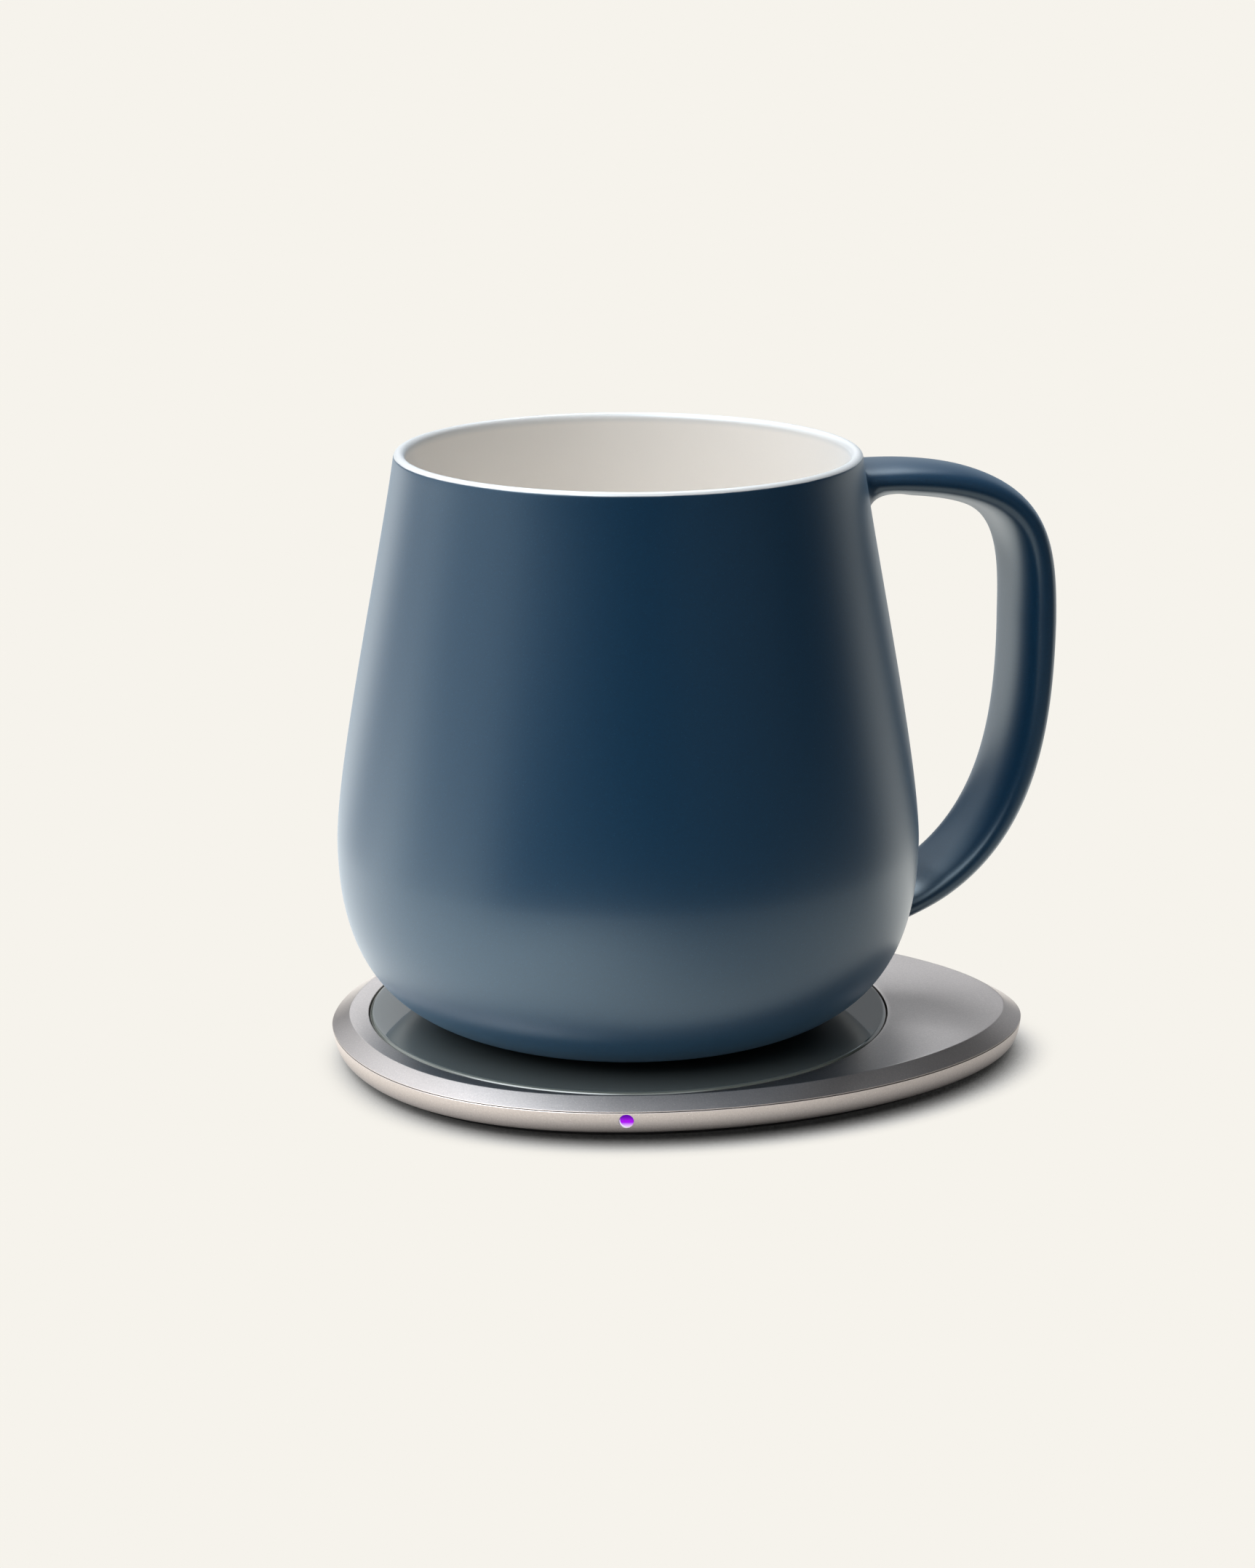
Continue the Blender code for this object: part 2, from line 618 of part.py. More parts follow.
def top_cover():
    """The chamfered cover plate, with the glass seat, a locating lip and the screw bosses."""
    levels = [
        (0, COVER_EDGE_BOTTOM),
        (0, COVER_EDGE_BOTTOM + COVER_EDGE),
        (COVER_CHAMFER_WIDTH, PAD_HEIGHT),
    ]
    cover = pad_solid("pad_top_cover", levels, "pad_metal")
    hollow = [(CASE_WALL, COVER_EDGE_BOTTOM - OVERRUN), (CASE_WALL, COVER_UNDERSIDE)]
    combine(cover, pad_solid("cover_hollow", hollow))
    root = COVER_UNDERSIDE + COVER_THICKNESS / 2
    lip = pad_solid("cover_lip", [(LIP_INSET, COVER_EDGE_BOTTOM - COVER_LIP_DEPTH), (LIP_INSET, root)])
    inside = [
        (LIP_INSET + COVER_LIP_WALL, COVER_EDGE_BOTTOM - COVER_LIP_DEPTH - OVERRUN),
        (LIP_INSET + COVER_LIP_WALL, root + OVERRUN),
    ]
    combine(lip, pad_solid("cover_lip_inside", inside))
    combine(cover, lip, "UNION")
    seat = cylinder("glass_seat", RECESS_RADIUS + GLASS_SEAT_WALL, SEAT_BOTTOM, root)
    combine(cover, seat, "UNION")
    bore = SCREW_RADIUS + SCREW_BORE_GAP
    for i, (x, y) in enumerate(screw_places(), 1):
        boss = cylinder(
            f"screw_boss_{i}",
            BOSS_RADIUS,
            CASE_FLOOR_TOP + STACK_GAP,
            root,
            steps=SMALL_ROUND_STEPS,
        )
        pilot = cylinder(
            f"screw_pilot_{i}",
            bore,
            CASE_FLOOR_TOP - OVERRUN,
            CASE_BOTTOM + SCREW_LENGTH + STACK_GAP,
            steps=SMALL_ROUND_STEPS,
        )
        for helper in (boss, pilot):
            helper.location = (x, y, 0)
        combine(cover, boss, "UNION")
        combine(cover, pilot)
    recess = cylinder("glass_recess", RECESS_RADIUS, SEAT_TOP, PAD_HEIGHT + OVERRUN)
    window = cylinder("glass_window", WINDOW_RADIUS, SEAT_BOTTOM - OVERRUN, PAD_HEIGHT + OVERRUN)
    combine(cover, recess)
    combine(cover, window)
    combine(cover, bpy.data.objects["indicator_pocket"])
    combine(cover, bpy.data.objects["socket_slot"])
    smooth(cover)


def glass():
    """The round glass plate that the mug stands on, and the tape that bonds it to its seat."""
    edge = GLASS_EDGE
    foot_edge = GLASS_FOOT_EDGE
    middle = (GLASS_RADIUS - edge, GLASS_TOP - edge)
    corner = arc(middle, edge, math.pi / 2, 0, GLASS_EDGE_STEPS)
    profile = [(0, GLASS_TOP)] + [tuple(p) for p in corner]
    profile += [
        (GLASS_RADIUS, GLASS_BOTTOM + foot_edge),
        (GLASS_RADIUS - foot_edge, GLASS_BOTTOM),
        (0, GLASS_BOTTOM),
    ]
    plate = turned("glass_plate", profile, "plate_glass")
    smooth(plate)
    low = SEAT_TOP + BOND_GAP
    high = low + BOND_THICKNESS
    outer = GLASS_RADIUS - foot_edge
    inner = WINDOW_RADIUS + foot_edge
    ring = [(inner, high), (outer, high), (outer, low), (inner, low)]
    turned("glass_bond_ring", ring, "adhesive", closed=True)


def coil_route():
    """Points along the coil's wire: in from the board, round the spiral, and back over it."""
    turns = COIL_TURNS * COIL_POINTS_A_TURN
    route = []
    fall = BOARD_TOP + SOLDER_GAP + WIRE_RADIUS
    route.append((LEAD_END_RADIUS, -LEAD_SPREAD, fall))
    route.append((BOARD_HOLE_RADIUS - WIRE_RADIUS, -LEAD_SPREAD / 2, fall))
    middle = (COIL_OUTER_RADIUS + BOARD_HOLE_RADIUS) / 2
    route.append((middle, -LEAD_SPREAD / 4, (COIL_CENTRE + fall) / 2))
    for i in range(turns + 1):
        t = i / turns
        angle = 2 * math.pi * COIL_TURNS * t
        radius = COIL_OUTER_RADIUS + (COIL_INNER_RADIUS - COIL_OUTER_RADIUS) * t
        route.append((radius * math.cos(angle), radius * math.sin(angle), COIL_CENTRE))
    # The inner end turns up inside the spiral, then runs out over it to the board
    inside = COIL_INNER_RADIUS - LEAD_TURN_INSET
    route.append((inside, LEAD_SPREAD / 4, COIL_CENTRE))
    route.append((inside - WIRE_RADIUS, LEAD_TURN_SPREAD, (COIL_CENTRE + LEAD_CENTRE) / 2))
    route.append((inside, LEAD_SPREAD / 2, LEAD_CENTRE))
    over = LEAD_END_RADIUS - 2 * (LEAD_CENTRE - fall)
    for i in range(LEAD_POINTS + 1):
        t = (i + 1) / (LEAD_POINTS + 1)
        spread = LEAD_SPREAD / 2 + LEAD_SPREAD / 2 * t
        route.append((inside + (over - inside) * t, spread, LEAD_CENTRE))
    route.append(((over + LEAD_END_RADIUS) / 2, LEAD_SPREAD, (LEAD_CENTRE + fall) / 2))
    route.append((LEAD_END_RADIUS, LEAD_SPREAD, fall))
    return route


def least_self_gap(route, skip):
    """The least distance between two stretches of the wire that aren't near each other along it."""
    points = np.array(route)
    least = math.inf
    for i in range(len(points) - skip):
        apart = np.linalg.norm(points[i + skip :] - points[i], axis=1).min()
        least = min(least, apart)
    return least - 2 * WIRE_RADIUS


def coil():
    """The transmitter coil: one unbroken wire in a flat spiral, with both its leads."""
    route = coil_route()
    wire = bpy.data.curves.new("transmitter_coil", "CURVE")
    wire.dimensions = "3D"
    wire.bevel_depth = WIRE_RADIUS
    wire.bevel_resolution = 1
    wire.use_fill_caps = True
    spline = wire.splines.new("POLY")
    spline.points.add(len(route) - 1)
    for target, point in zip(spline.points, route):
        target.co = (*point, 1)
    thing = bpy.data.objects.new("transmitter_coil", wire)
    wire.materials.append(finish("copper_wire"))
    bpy.data.collections[PARTS].objects.link(thing)
    gap = least_self_gap(route, COIL_POINTS_A_TURN // 2)
    verdict = "clear" if gap > COIL_LEAST_GAP else "too near"
    print(f"transmitter_coil: least gap to itself {gap * 1000:.2f} mm, {verdict}")


def flat_ring(name, inner, outer, low, high, material, steps=ROUND_STEPS):
    """A flat washer between two radii and two heights."""
    ring = [(inner, high), (outer, high), (outer, low), (inner, low)]
    return turned(name, ring, material, steps=steps, closed=True)


def under_glass():
    """The ferrite under the coil, the mica over it, and the temperature sensor in the middle."""
    ferrite_top = FERRITE_BOTTOM + FERRITE_THICKNESS
    flat_ring("ferrite_shield", FERRITE_HOLE, FERRITE_RADIUS, FERRITE_BOTTOM, ferrite_top, "ferrite")
    low = INSULATION_TOP - INSULATION_THICKNESS
    flat_ring("insulation_sheet", INSULATION_HOLE, INSULATION_RADIUS, low, INSULATION_TOP, "mica")
    sensor_top = GLASS_BOTTOM - BOND_GAP
    sensor_bottom = sensor_top - SENSOR_HEIGHT
    cylinder(
        "temperature_sensor",
        SENSOR_RADIUS,
        sensor_bottom,
        sensor_top,
        "ceramic_capacitor",
        steps=SMALL_ROUND_STEPS,
    )
    cylinder(
        "sensor_pad",
        SENSOR_PAD_RADIUS,
        CASE_FLOOR_TOP + BOND_GAP,
        sensor_bottom - BOND_GAP,
        "silicone",
        steps=SMALL_ROUND_STEPS,
    )


def main_board():
    """The circuit board: egg-shaped inside the case, cut away round coil, bosses and socket."""
    edge = [(LIP_INSET, BOARD_BOTTOM), (LIP_INSET, BOARD_TOP)]
    board = pad_solid("main_board", edge, "circuit_board")
    low, high = BOARD_BOTTOM - OVERRUN, BOARD_TOP + OVERRUN
    combine(board, cylinder("board_coil_hole", BOARD_HOLE_RADIUS, low, high))
    for i, (x, y) in enumerate(screw_places(), 1):
        radius = BOSS_RADIUS + BOSS_CLEARANCE
        hole = cylinder(f"board_boss_hole_{i}", radius, low, high, steps=SMALL_ROUND_STEPS)
        hole.location = (x, y, 0)
        combine(board, hole)
    size = (SOCKET_LENGTH + SOCKET_RECESS + FIT_GAP, SOCKET_WIDTH + 2 * FIT_GAP, SOCKET_HEIGHT)
    # The notch is longer than the socket on its open side, so that it cuts the board's edge
    notch = block("board_socket_notch", size, (-size[0] / 2, 0, 0))
    notch.matrix_world = socket_frame()
    combine(board, notch)


def chip(name, size, place, material="black_moulding", edge=CHIP_EDGE):
    """A component on the board: its (length, width, height) and its middle's (x, y)."""
    centre = (place[0], place[1], PART_BOTTOM + size[2] / 2)
    block(name, size, centre, material, edge)


def board_parts():
    """The chips, coil drivers, capacitors and inductor, in rows across the nose."""
    size = (DRIVER_SIDE, DRIVER_SIDE, DRIVER_HEIGHT)
    first = -(DRIVER_COUNT - 1) * DRIVER_PITCH / 2
    for i in range(DRIVER_COUNT):
        chip(f"coil_driver_{i + 1}", size, (NOSE_ROW_START, first + i * DRIVER_PITCH))
    side = (DRIVER_COUNT + 1) * DRIVER_PITCH / 2
    size = (CONTROL_CHIP_SIDE, CONTROL_CHIP_SIDE, CONTROL_CHIP_HEIGHT)
    chip("control_chip", size, (NOSE_ROW_START, -side - CONTROL_CHIP_SIDE / 2))
    size = (POWER_CHIP_SIDE, POWER_CHIP_SIDE, POWER_CHIP_HEIGHT)
    chip("power_input_chip", size, (NOSE_ROW_START, side + POWER_CHIP_SIDE / 2))
    second = NOSE_ROW_START + NOSE_ROW_STEP_SHARE * NOSE_BORDER
    size = (CAPACITOR_SIDE, CAPACITOR_SIDE, CAPACITOR_HEIGHT)
    first = -CAPACITOR_COUNT * CAPACITOR_PITCH / 2
    for i in range(CAPACITOR_COUNT):
        place = (second, first + i * CAPACITOR_PITCH)
        chip(f"resonance_capacitor_{i + 1}", size, place, "ceramic_capacitor")
    size = (INDUCTOR_SIDE, INDUCTOR_SIDE, INDUCTOR_HEIGHT)
    place = (second, first + CAPACITOR_COUNT * CAPACITOR_PITCH + INDUCTOR_SHIFT)
    chip("power_inductor", size, place, "ferrite", INDUCTOR_EDGE)


def socket_cutter():
    """The slot that the plug enters by, cut in the case's side and the cover's lip."""
    width = SOCKET_WIDTH + 2 * SOCKET_GAP
    back = -SOCKET_RECESS - SOCKET_LENGTH - SOCKET_GAP
    stadium("socket_slot", width, SOCKET_SLOT_HEIGHT, back, OVERRUN, socket_frame())


def charging_socket():
    """The USB-C socket: a drawn steel shell and the moulded tongue inside it."""
    frame = socket_frame()
    mouth = -SOCKET_RECESS
    back = mouth - SOCKET_LENGTH
    stadium("socket_shell", SOCKET_WIDTH, SOCKET_HEIGHT, back, mouth, frame, "steel", SOCKET_WALL)
    inner = SOCKET_WALL + BOND_GAP
    plug_width = SOCKET_WIDTH - 2 * inner
    plug_height = SOCKET_HEIGHT - 2 * inner
    tongue = stadium(
        "socket_tongue",
        plug_width,
        plug_height,
        back,
        back + TONGUE_ROOT,
        frame,
        "black_moulding",
    )
    length = SOCKET_LENGTH - TONGUE_SETBACK - TONGUE_ROOT / 2
    middle = back + TONGUE_ROOT / 2 + length / 2
    blade = block("tongue_blade", (length, TONGUE_WIDTH, TONGUE_THICKNESS), (middle, 0, 0))
    blade.matrix_world = frame
    combine(tongue, blade, "UNION")


def indicator_places():
    """Distances along the indicator's frame: the lens's face and back, and the light's two ends."""
    face = -INDICATOR_LENS_RECESS - (CASE_TOP - INDICATOR_HEIGHT) * math.tan(CASE_LEAN)
    back = face - INDICATOR_LENS_LENGTH
    light_front = back - LED_STAND_OFF
    return face, back, light_front, light_front - LED_DEPTH


def indicator_cutters():
    """The round hole for the lens in the case's side, and the pocket for the light behind it."""
    frame = indicator_frame()
    back, light_back = indicator_places()[1::2]
    bored_along("indicator_bore", INDICATOR_RADIUS, back - OVERRUN, OVERRUN, frame)
    start = light_back - FIT_GAP
    length = back + OVERRUN / 2 - start
    low = SEAT_BOTTOM - OVERRUN - INDICATOR_HEIGHT
    high = PART_BOTTOM + LED_HEIGHT + FIT_GAP - INDICATOR_HEIGHT
    size = (length, LED_WIDTH + 2 * FIT_GAP, high - low)
    pocket = block("indicator_pocket", size, (start + length / 2, 0, (low + high) / 2))
    pocket.matrix_world = frame


def indicator():
    """The indicator: a clear lens in the case's side, and the light behind it on the board."""
    frame = indicator_frame()
    face, back, light_front, light_back = indicator_places()
    radius = INDICATOR_RADIUS - INDICATOR_LENS_GAP
    lens = bored_along("indicator_lens", radius, back, face, frame, "light_lens", INDICATOR_DOME)
    smooth(lens)
    size = (LED_DEPTH, LED_WIDTH, LED_HEIGHT)
    low = PART_BOTTOM - INDICATOR_HEIGHT
    centre = ((light_front + light_back) / 2, 0, low + LED_HEIGHT / 2)
    led = block("indicator_led", size, centre, "silicone")
    led.matrix_world = frame


def case_screws():
    """Five countersunk screws that hold the tray to the cover's bosses."""
    top = CASE_BOTTOM + SCREW_LENGTH
    profile = [
        (0, top),
        (SCREW_RADIUS * SCREW_TIP_SHARE, top),
        (SCREW_RADIUS, top - SCREW_RADIUS / 2),
        (SCREW_RADIUS, CASE_BOTTOM + SCREW_HEAD_DEPTH),
        (SCREW_HEAD_RADIUS, CASE_BOTTOM),
        (0, CASE_BOTTOM),
    ]
    for i, (x, y) in enumerate(screw_places(), 1):
        screw = turned(f"case_screw_{i}", profile, "steel", steps=SMALL_ROUND_STEPS)
        screw.location = (x, y, 0)


def mug_outline():
    """The mug's turned profile, as (radius, height), from the inner floor round to the recess."""
    lip = np.array([RIM_RADIUS - LIP_RADIUS, MUG_HEIGHT - LIP_RADIUS])
    across = np.array([math.cos(RIM_LEAN), math.sin(RIM_LEAN)])
    down = np.array([math.sin(RIM_LEAN), -math.cos(RIM_LEAN)])
    side_height = MUG_HEIGHT - BELLY_HEIGHT
    belly = np.array([BELLY_RADIUS, BELLY_HEIGHT])
    foot_edge = np.array([MUG_FOOT_RADIUS, 0])
    rise = np.array([math.cos(MUG_FOOT_RISE), math.sin(MUG_FOOT_RISE)])
    inner_belly = belly - (MUG_WALL, 0)
    inner_floor = np.array([INNER_FLOOR_RADIUS, MUG_FLOOR])
    floor_pull = INNER_FLOOR_PULL_SHARE * (inner_belly[0] - INNER_FLOOR_RADIUS)
    belly_pull = INNER_BELLY_PULL_SHARE * (BELLY_HEIGHT - MUG_FLOOR)
    inner_low = bezier(
        inner_floor,
        inner_floor + (floor_pull, 0),
        inner_belly - (0, belly_pull),
        inner_belly,
        INNER_STEPS,
    )
    inner_high = bezier(
        inner_belly,
        inner_belly + (0, BELLY_UPPER_PULL_SHARE * side_height),
        lip - LIP_RADIUS * across + RIM_PULL_SHARE * side_height * down,
        lip - LIP_RADIUS * across,
        INNER_STEPS,
    )
    over_lip = arc(lip, LIP_RADIUS, RIM_LEAN + math.pi, RIM_LEAN, LIP_STEPS)
    outer_high = bezier(
        lip + LIP_RADIUS * across,
        lip + LIP_RADIUS * across + RIM_PULL_SHARE * side_height * down,
        belly + (0, BELLY_UPPER_PULL_SHARE * side_height),
        belly,
        SIDE_STEPS,
    )
    outer_low = bezier(
        belly,
        belly - (0, BELLY_LOWER_PULL_SHARE * BELLY_HEIGHT),
        foot_edge + UNDERSIDE_PULL_SHARE * (BELLY_RADIUS - MUG_FOOT_RADIUS) * rise,
        foot_edge,
        UNDERSIDE_STEPS,
    )
    recess = HEATER_RADIUS
    under = [(recess, 0), (recess, HEATER_RECESS_TOP), (0, HEATER_RECESS_TOP)]
    walls = inner_low + inner_high[1:] + over_lip[1:] + outer_high[1:] + outer_low[1:]
    return [(0, MUG_FLOOR)] + [tuple(point) for point in walls] + under


def handle_path():
    """The handle's middle line as (reach, height), from its top root to its low root."""
    top = np.array([HANDLE_TOP_ROOT, HANDLE_TOP_HEIGHT])
    outer = np.array([HANDLE_REACH, HANDLE_REACH_HEIGHT])
    low = np.array([HANDLE_LOW_ROOT, HANDLE_LOW_HEIGHT])
    leave = np.array([math.cos(HANDLE_LOW_RISE), math.sin(HANDLE_LOW_RISE)])
    top_pull = HANDLE_TOP_PULL_SHARE * (HANDLE_REACH - HANDLE_TOP_ROOT)
    up_pull = HANDLE_OUTER_UP_PULL_SHARE * (HANDLE_TOP_HEIGHT - HANDLE_REACH_HEIGHT)
    down_pull = HANDLE_OUTER_DOWN_PULL_SHARE * (HANDLE_REACH_HEIGHT - HANDLE_LOW_HEIGHT)
    low_pull = HANDLE_LOW_PULL_SHARE * (HANDLE_REACH - HANDLE_LOW_ROOT)
    upper = bezier(top, top + (top_pull, 0), outer + (0, up_pull), outer, HANDLE_STEPS)
    lower = bezier(outer, outer - (0, down_pull), low + low_pull * leave, low, HANDLE_STEPS)
    return upper + lower[1:]


def handle_sections():
    """The handle's sections: flat ovals that thicken at the grip and flare out at both roots."""
    path = np.array(handle_path())
    runs = np.linalg.norm(np.diff(path, axis=0), axis=1)
    along = np.concatenate([[0], np.cumsum(runs)])
    share = along / along[-1]
    thick = (HANDLE_TOP_THICKNESS, HANDLE_GRIP_THICKNESS, HANDLE_LOW_THICKNESS)
    thickness = np.interp(share, (0, HANDLE_GRIP_SHARE, 1), thick)
    sections = []
    for i, centre in enumerate(path):
        ahead = path[min(i + 1, len(path) - 1)] - path[max(i - 1, 0)]
        ahead = ahead / np.linalg.norm(ahead)
        outward = np.array([-ahead[1], ahead[0]])
        root = min(along[i], along[-1] - along[i])
        flare = math.exp(-root / HANDLE_FLARE_LENGTH)
        half_width = HANDLE_WIDTH / 2 + HANDLE_FLARE_WIDTH * flare
        section = []
        for k in range(HANDLE_SIDES):
            turn = 2 * math.pi * k / HANDLE_SIDES
            x = math.copysign(abs(math.cos(turn)) ** (2 / HANDLE_ROUNDNESS), math.cos(turn))
            y = math.copysign(abs(math.sin(turn)) ** (2 / HANDLE_ROUNDNESS), math.sin(turn))
            depth = thickness[i] / 2
            if x < 0:
                depth += HANDLE_FLARE_DEPTH * flare
            reach, height = centre + x * depth * outward
            section.append((reach, half_width * y, height))
        sections.append(section)
    return sections


def root_section(section, share):
    """An end section shrunk to this share and laid on a turned face just inside the mug's wall."""
    outline = np.array(mug_outline())
    widest = int(np.argmax(outline[:, 0]))
    first = int(np.argmax(outline[:widest, 1]))
    outer = outline[first : widest + UNDERSIDE_STEPS + 1][::-1]
    middle = np.mean(section, axis=0)
    laid = []
    for point in section:
        _, side, height = middle + share * (np.array(point) - middle)
        radius = np.interp(height, outer[:, 1], outer[:, 0]) - HANDLE_ROOT_DEPTH
        laid.append((math.sqrt(radius**2 - side**2), side, height))
    return laid


def handle_rings():
    """The handle's sections, with both ends following the round wall that they are fired onto."""
    sections = handle_sections()
    shares = (HANDLE_ROOT_CORE_SHARE, 1)
    top = [root_section(sections[0], share) for share in shares]
    low = [root_section(sections[-1], share) for share in shares[::-1]]
    return top + sections[1:-1] + low


def mug():
    """The mug, its handle, and the heating disc and cover in its foot, on the lifting joint."""
    joint = bpy.data.objects.new("mug_lift", None)
    joint.location = (0, 0, MUG_BASE)
    joint.rotation_euler = (0, 0, MUG_TURN)
    bpy.data.collections[PARTS].objects.link(joint)
    vessel = turned("mug_body", mug_outline(), "blue_glaze", joint)
    handle = lofted("mug_handle", handle_rings(), parent=joint)
    combine(vessel, handle, "UNION")
    smooth(vessel)
    radius = HEATER_RADIUS - FIT_GAP
    top = HEATER_BOTTOM + HEATER_THICKNESS
    disc = [(0, top), (radius, top), (radius, HEATER_BOTTOM), (0, HEATER_BOTTOM)]
    turned("heating_disc", disc, "steel", joint)
    top = HEATER_COVER_BOTTOM + HEATER_COVER_THICKNESS
    edge = HEATER_COVER_RECESS
    cover = [
        (0, top),
        (radius, top),
        (radius, HEATER_COVER_BOTTOM + edge),
        (radius - edge, HEATER_COVER_BOTTOM),
        (0, HEATER_COVER_BOTTOM),
    ]
    turned("heating_disc_cover", cover, "silicone", joint)


def main():
    """Builds the pad from the table up, then the mug."""
    clear_scene()
    indicator_cutters()
    socket_cutter()
    foot()
    lower_case()
    top_cover()
    glass()
    under_glass()
    coil()
    main_board()
    board_parts()
    charging_socket()
    indicator()
    case_screws()
    mug()


main()
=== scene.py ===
"""Looks for a self heating mug that stands on its egg-shaped warming pad.

Everything is in metres in the CAD model's frame: +Z up, +X from the pad's round heel to its
nose, and the origin on the table under the middle of the round glass plate.
"""

import json
import logging
import math
from dataclasses import dataclass, field
from enum import Enum

import bmesh
import bpy
import numpy as np
from bpy.types import Camera, Material, Mesh, Node, NodeSocket, NodeTree, Object
from mathutils import Matrix, Vector

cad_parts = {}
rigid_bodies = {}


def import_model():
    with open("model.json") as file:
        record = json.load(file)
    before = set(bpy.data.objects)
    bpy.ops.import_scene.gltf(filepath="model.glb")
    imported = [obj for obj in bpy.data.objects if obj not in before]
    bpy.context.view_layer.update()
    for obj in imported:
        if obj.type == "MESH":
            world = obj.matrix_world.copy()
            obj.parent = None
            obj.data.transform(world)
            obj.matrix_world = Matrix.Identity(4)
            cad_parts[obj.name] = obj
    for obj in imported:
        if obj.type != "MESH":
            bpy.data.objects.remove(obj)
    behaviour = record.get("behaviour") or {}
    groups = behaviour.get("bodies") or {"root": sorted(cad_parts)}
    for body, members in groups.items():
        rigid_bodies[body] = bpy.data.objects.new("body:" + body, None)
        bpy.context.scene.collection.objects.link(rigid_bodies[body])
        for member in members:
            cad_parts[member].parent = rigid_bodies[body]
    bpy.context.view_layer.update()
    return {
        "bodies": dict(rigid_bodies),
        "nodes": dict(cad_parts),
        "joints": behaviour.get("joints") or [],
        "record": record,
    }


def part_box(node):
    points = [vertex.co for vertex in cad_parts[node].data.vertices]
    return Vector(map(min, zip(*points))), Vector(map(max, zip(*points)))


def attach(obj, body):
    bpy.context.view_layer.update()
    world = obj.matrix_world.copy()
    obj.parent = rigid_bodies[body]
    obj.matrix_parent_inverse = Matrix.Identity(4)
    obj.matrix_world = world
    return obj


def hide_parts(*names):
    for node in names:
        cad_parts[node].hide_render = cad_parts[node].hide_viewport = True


log = logging.getLogger("self_heating_mug")
MM = 0.001
GLAZE_LINE = "glaze_line"
Colour = tuple[float, float, float]
Pair = tuple[float, float]
Rows = np.ndarray


class Body(Enum):
    """The two rigid bodies of the CAD model."""

    PAD = "pad"
    MUG = "mug"


def point_ring(count: int) -> Rows:
    """The angles in radians of this many evenly spaced points round a circle."""
    return np.linspace(0, 2 * math.pi, count, endpoint=False)


def unit(rows: Rows) -> Rows:
    """The rows, each made one long."""
    return rows / np.maximum(np.linalg.norm(rows, axis=1)[:, None], 1e-9)


def run_lengths(points: Rows) -> Rows:
    """How far along their path each of these points lies."""
    return np.concatenate([[0], np.cumsum(np.linalg.norm(np.diff(points, axis=0), axis=1))])


def level(flat: Rows, height: float) -> Rows:
    """Rows in millimetres, set at this height and given in metres."""
    return np.column_stack([flat, np.full(len(flat), height)]) * MM


def aim(bearing: float, rise: float = 0.0) -> Rows:
    """The way at this bearing from +X and this rise, both in degrees, one long."""
    turn, up = math.radians(bearing), math.radians(rise)
    flat = math.cos(up)
    return np.array([math.cos(turn) * flat, math.sin(turn) * flat, math.sin(up)])


def cubic(
    t: float | Rows, a: Rows, b: Rows, c: Rows, d: Rows
) -> Rows:
    """The cubic curve from a to d with the pulls b and c, at t from 0 to 1."""
    s = 1 - t
    return s**3 * a + 3 * s**2 * t * b + 3 * s * t**2 * c + t**3 * d


def bezier(p0: tuple, p1: tuple, p2: tuple, p3: tuple, steps: int) -> Rows:
    """Points along a cubic curve.

    Args:
        p0: The start.
        p1: The start's pull.
        p2: The end's pull.
        p3: The end.
        steps: How many steps, one less than the points.

    Returns:
        The points as rows, both ends included.
    """
    points = (np.asarray(p, float) for p in (p0, p1, p2, p3))
    return cubic(np.linspace(0, 1, steps + 1)[:, None], *points)


def arc(centre: tuple, radius: float, first: float, last: float, steps: int) -> Rows:
    """Points round part of a circle.

    Args:
        centre: The circle's centre.
        radius: Its radius.
        first: The first point's angle in radians.
        last: The last point's angle.
        steps: How many steps, one less than the points.

    Returns:
        The points as rows, both ends included.
    """
    turn = np.linspace(first, last, steps + 1)
    return np.asarray(centre, float) + radius * np.column_stack([np.cos(turn), np.sin(turn)])


def spaced(points: Rows, count: int) -> Rows:
    """The same path with this many evenly spaced points, both ends kept."""
    runs = run_lengths(points)
    wanted = np.linspace(0, runs[-1], count)
    return np.column_stack([np.interp(wanted, runs, points[:, i]) for i in range(points.shape[1])])


def linked(name: str, data: Mesh | Camera) -> Object:
    """A new object at the origin, in the scene, that shows this mesh or camera."""
    made = bpy.data.objects.new(name, data)
    bpy.context.scene.collection.objects.link(made)
    return made


def piece(name: str, mesh: Mesh, finish: Material) -> Object:
    """An object at the origin for a finished mesh.

    Args:
        name: The piece's name.
        mesh: Its mesh, already in the model's frame.
        finish: Its material.

    Returns:
        The linked object.
    """
    mesh.materials.clear()
    mesh.materials.append(finish)
    return linked(name, mesh)


def marked(mesh: Mesh, line: Rows) -> Mesh:
    """Tells each of the mesh's points how far past the glaze line it is, in metres."""
    mesh.attributes.new(GLAZE_LINE, "FLOAT", "POINT").data.foreach_set("value", line)
    return mesh


def written(shape: bmesh.types.BMesh, mesh: Mesh) -> Mesh:
    """Writes the shape into this mesh and lets the shape go."""
    shape.to_mesh(mesh)
    shape.free()
    return mesh


def baked(source: Object) -> Mesh:
    """The object's evaluated shape as a plain mesh, with the object itself removed.

    Args:
        source: The object with its live modifiers.

    Returns:
        The new mesh.
    """
    bpy.context.view_layer.update()
    graph = bpy.context.evaluated_depsgraph_get()
    mesh = bpy.data.meshes.new_from_object(source.evaluated_get(graph))
    source.modifiers.clear()
    bpy.data.objects.remove(source, do_unlink=True)
    return mesh


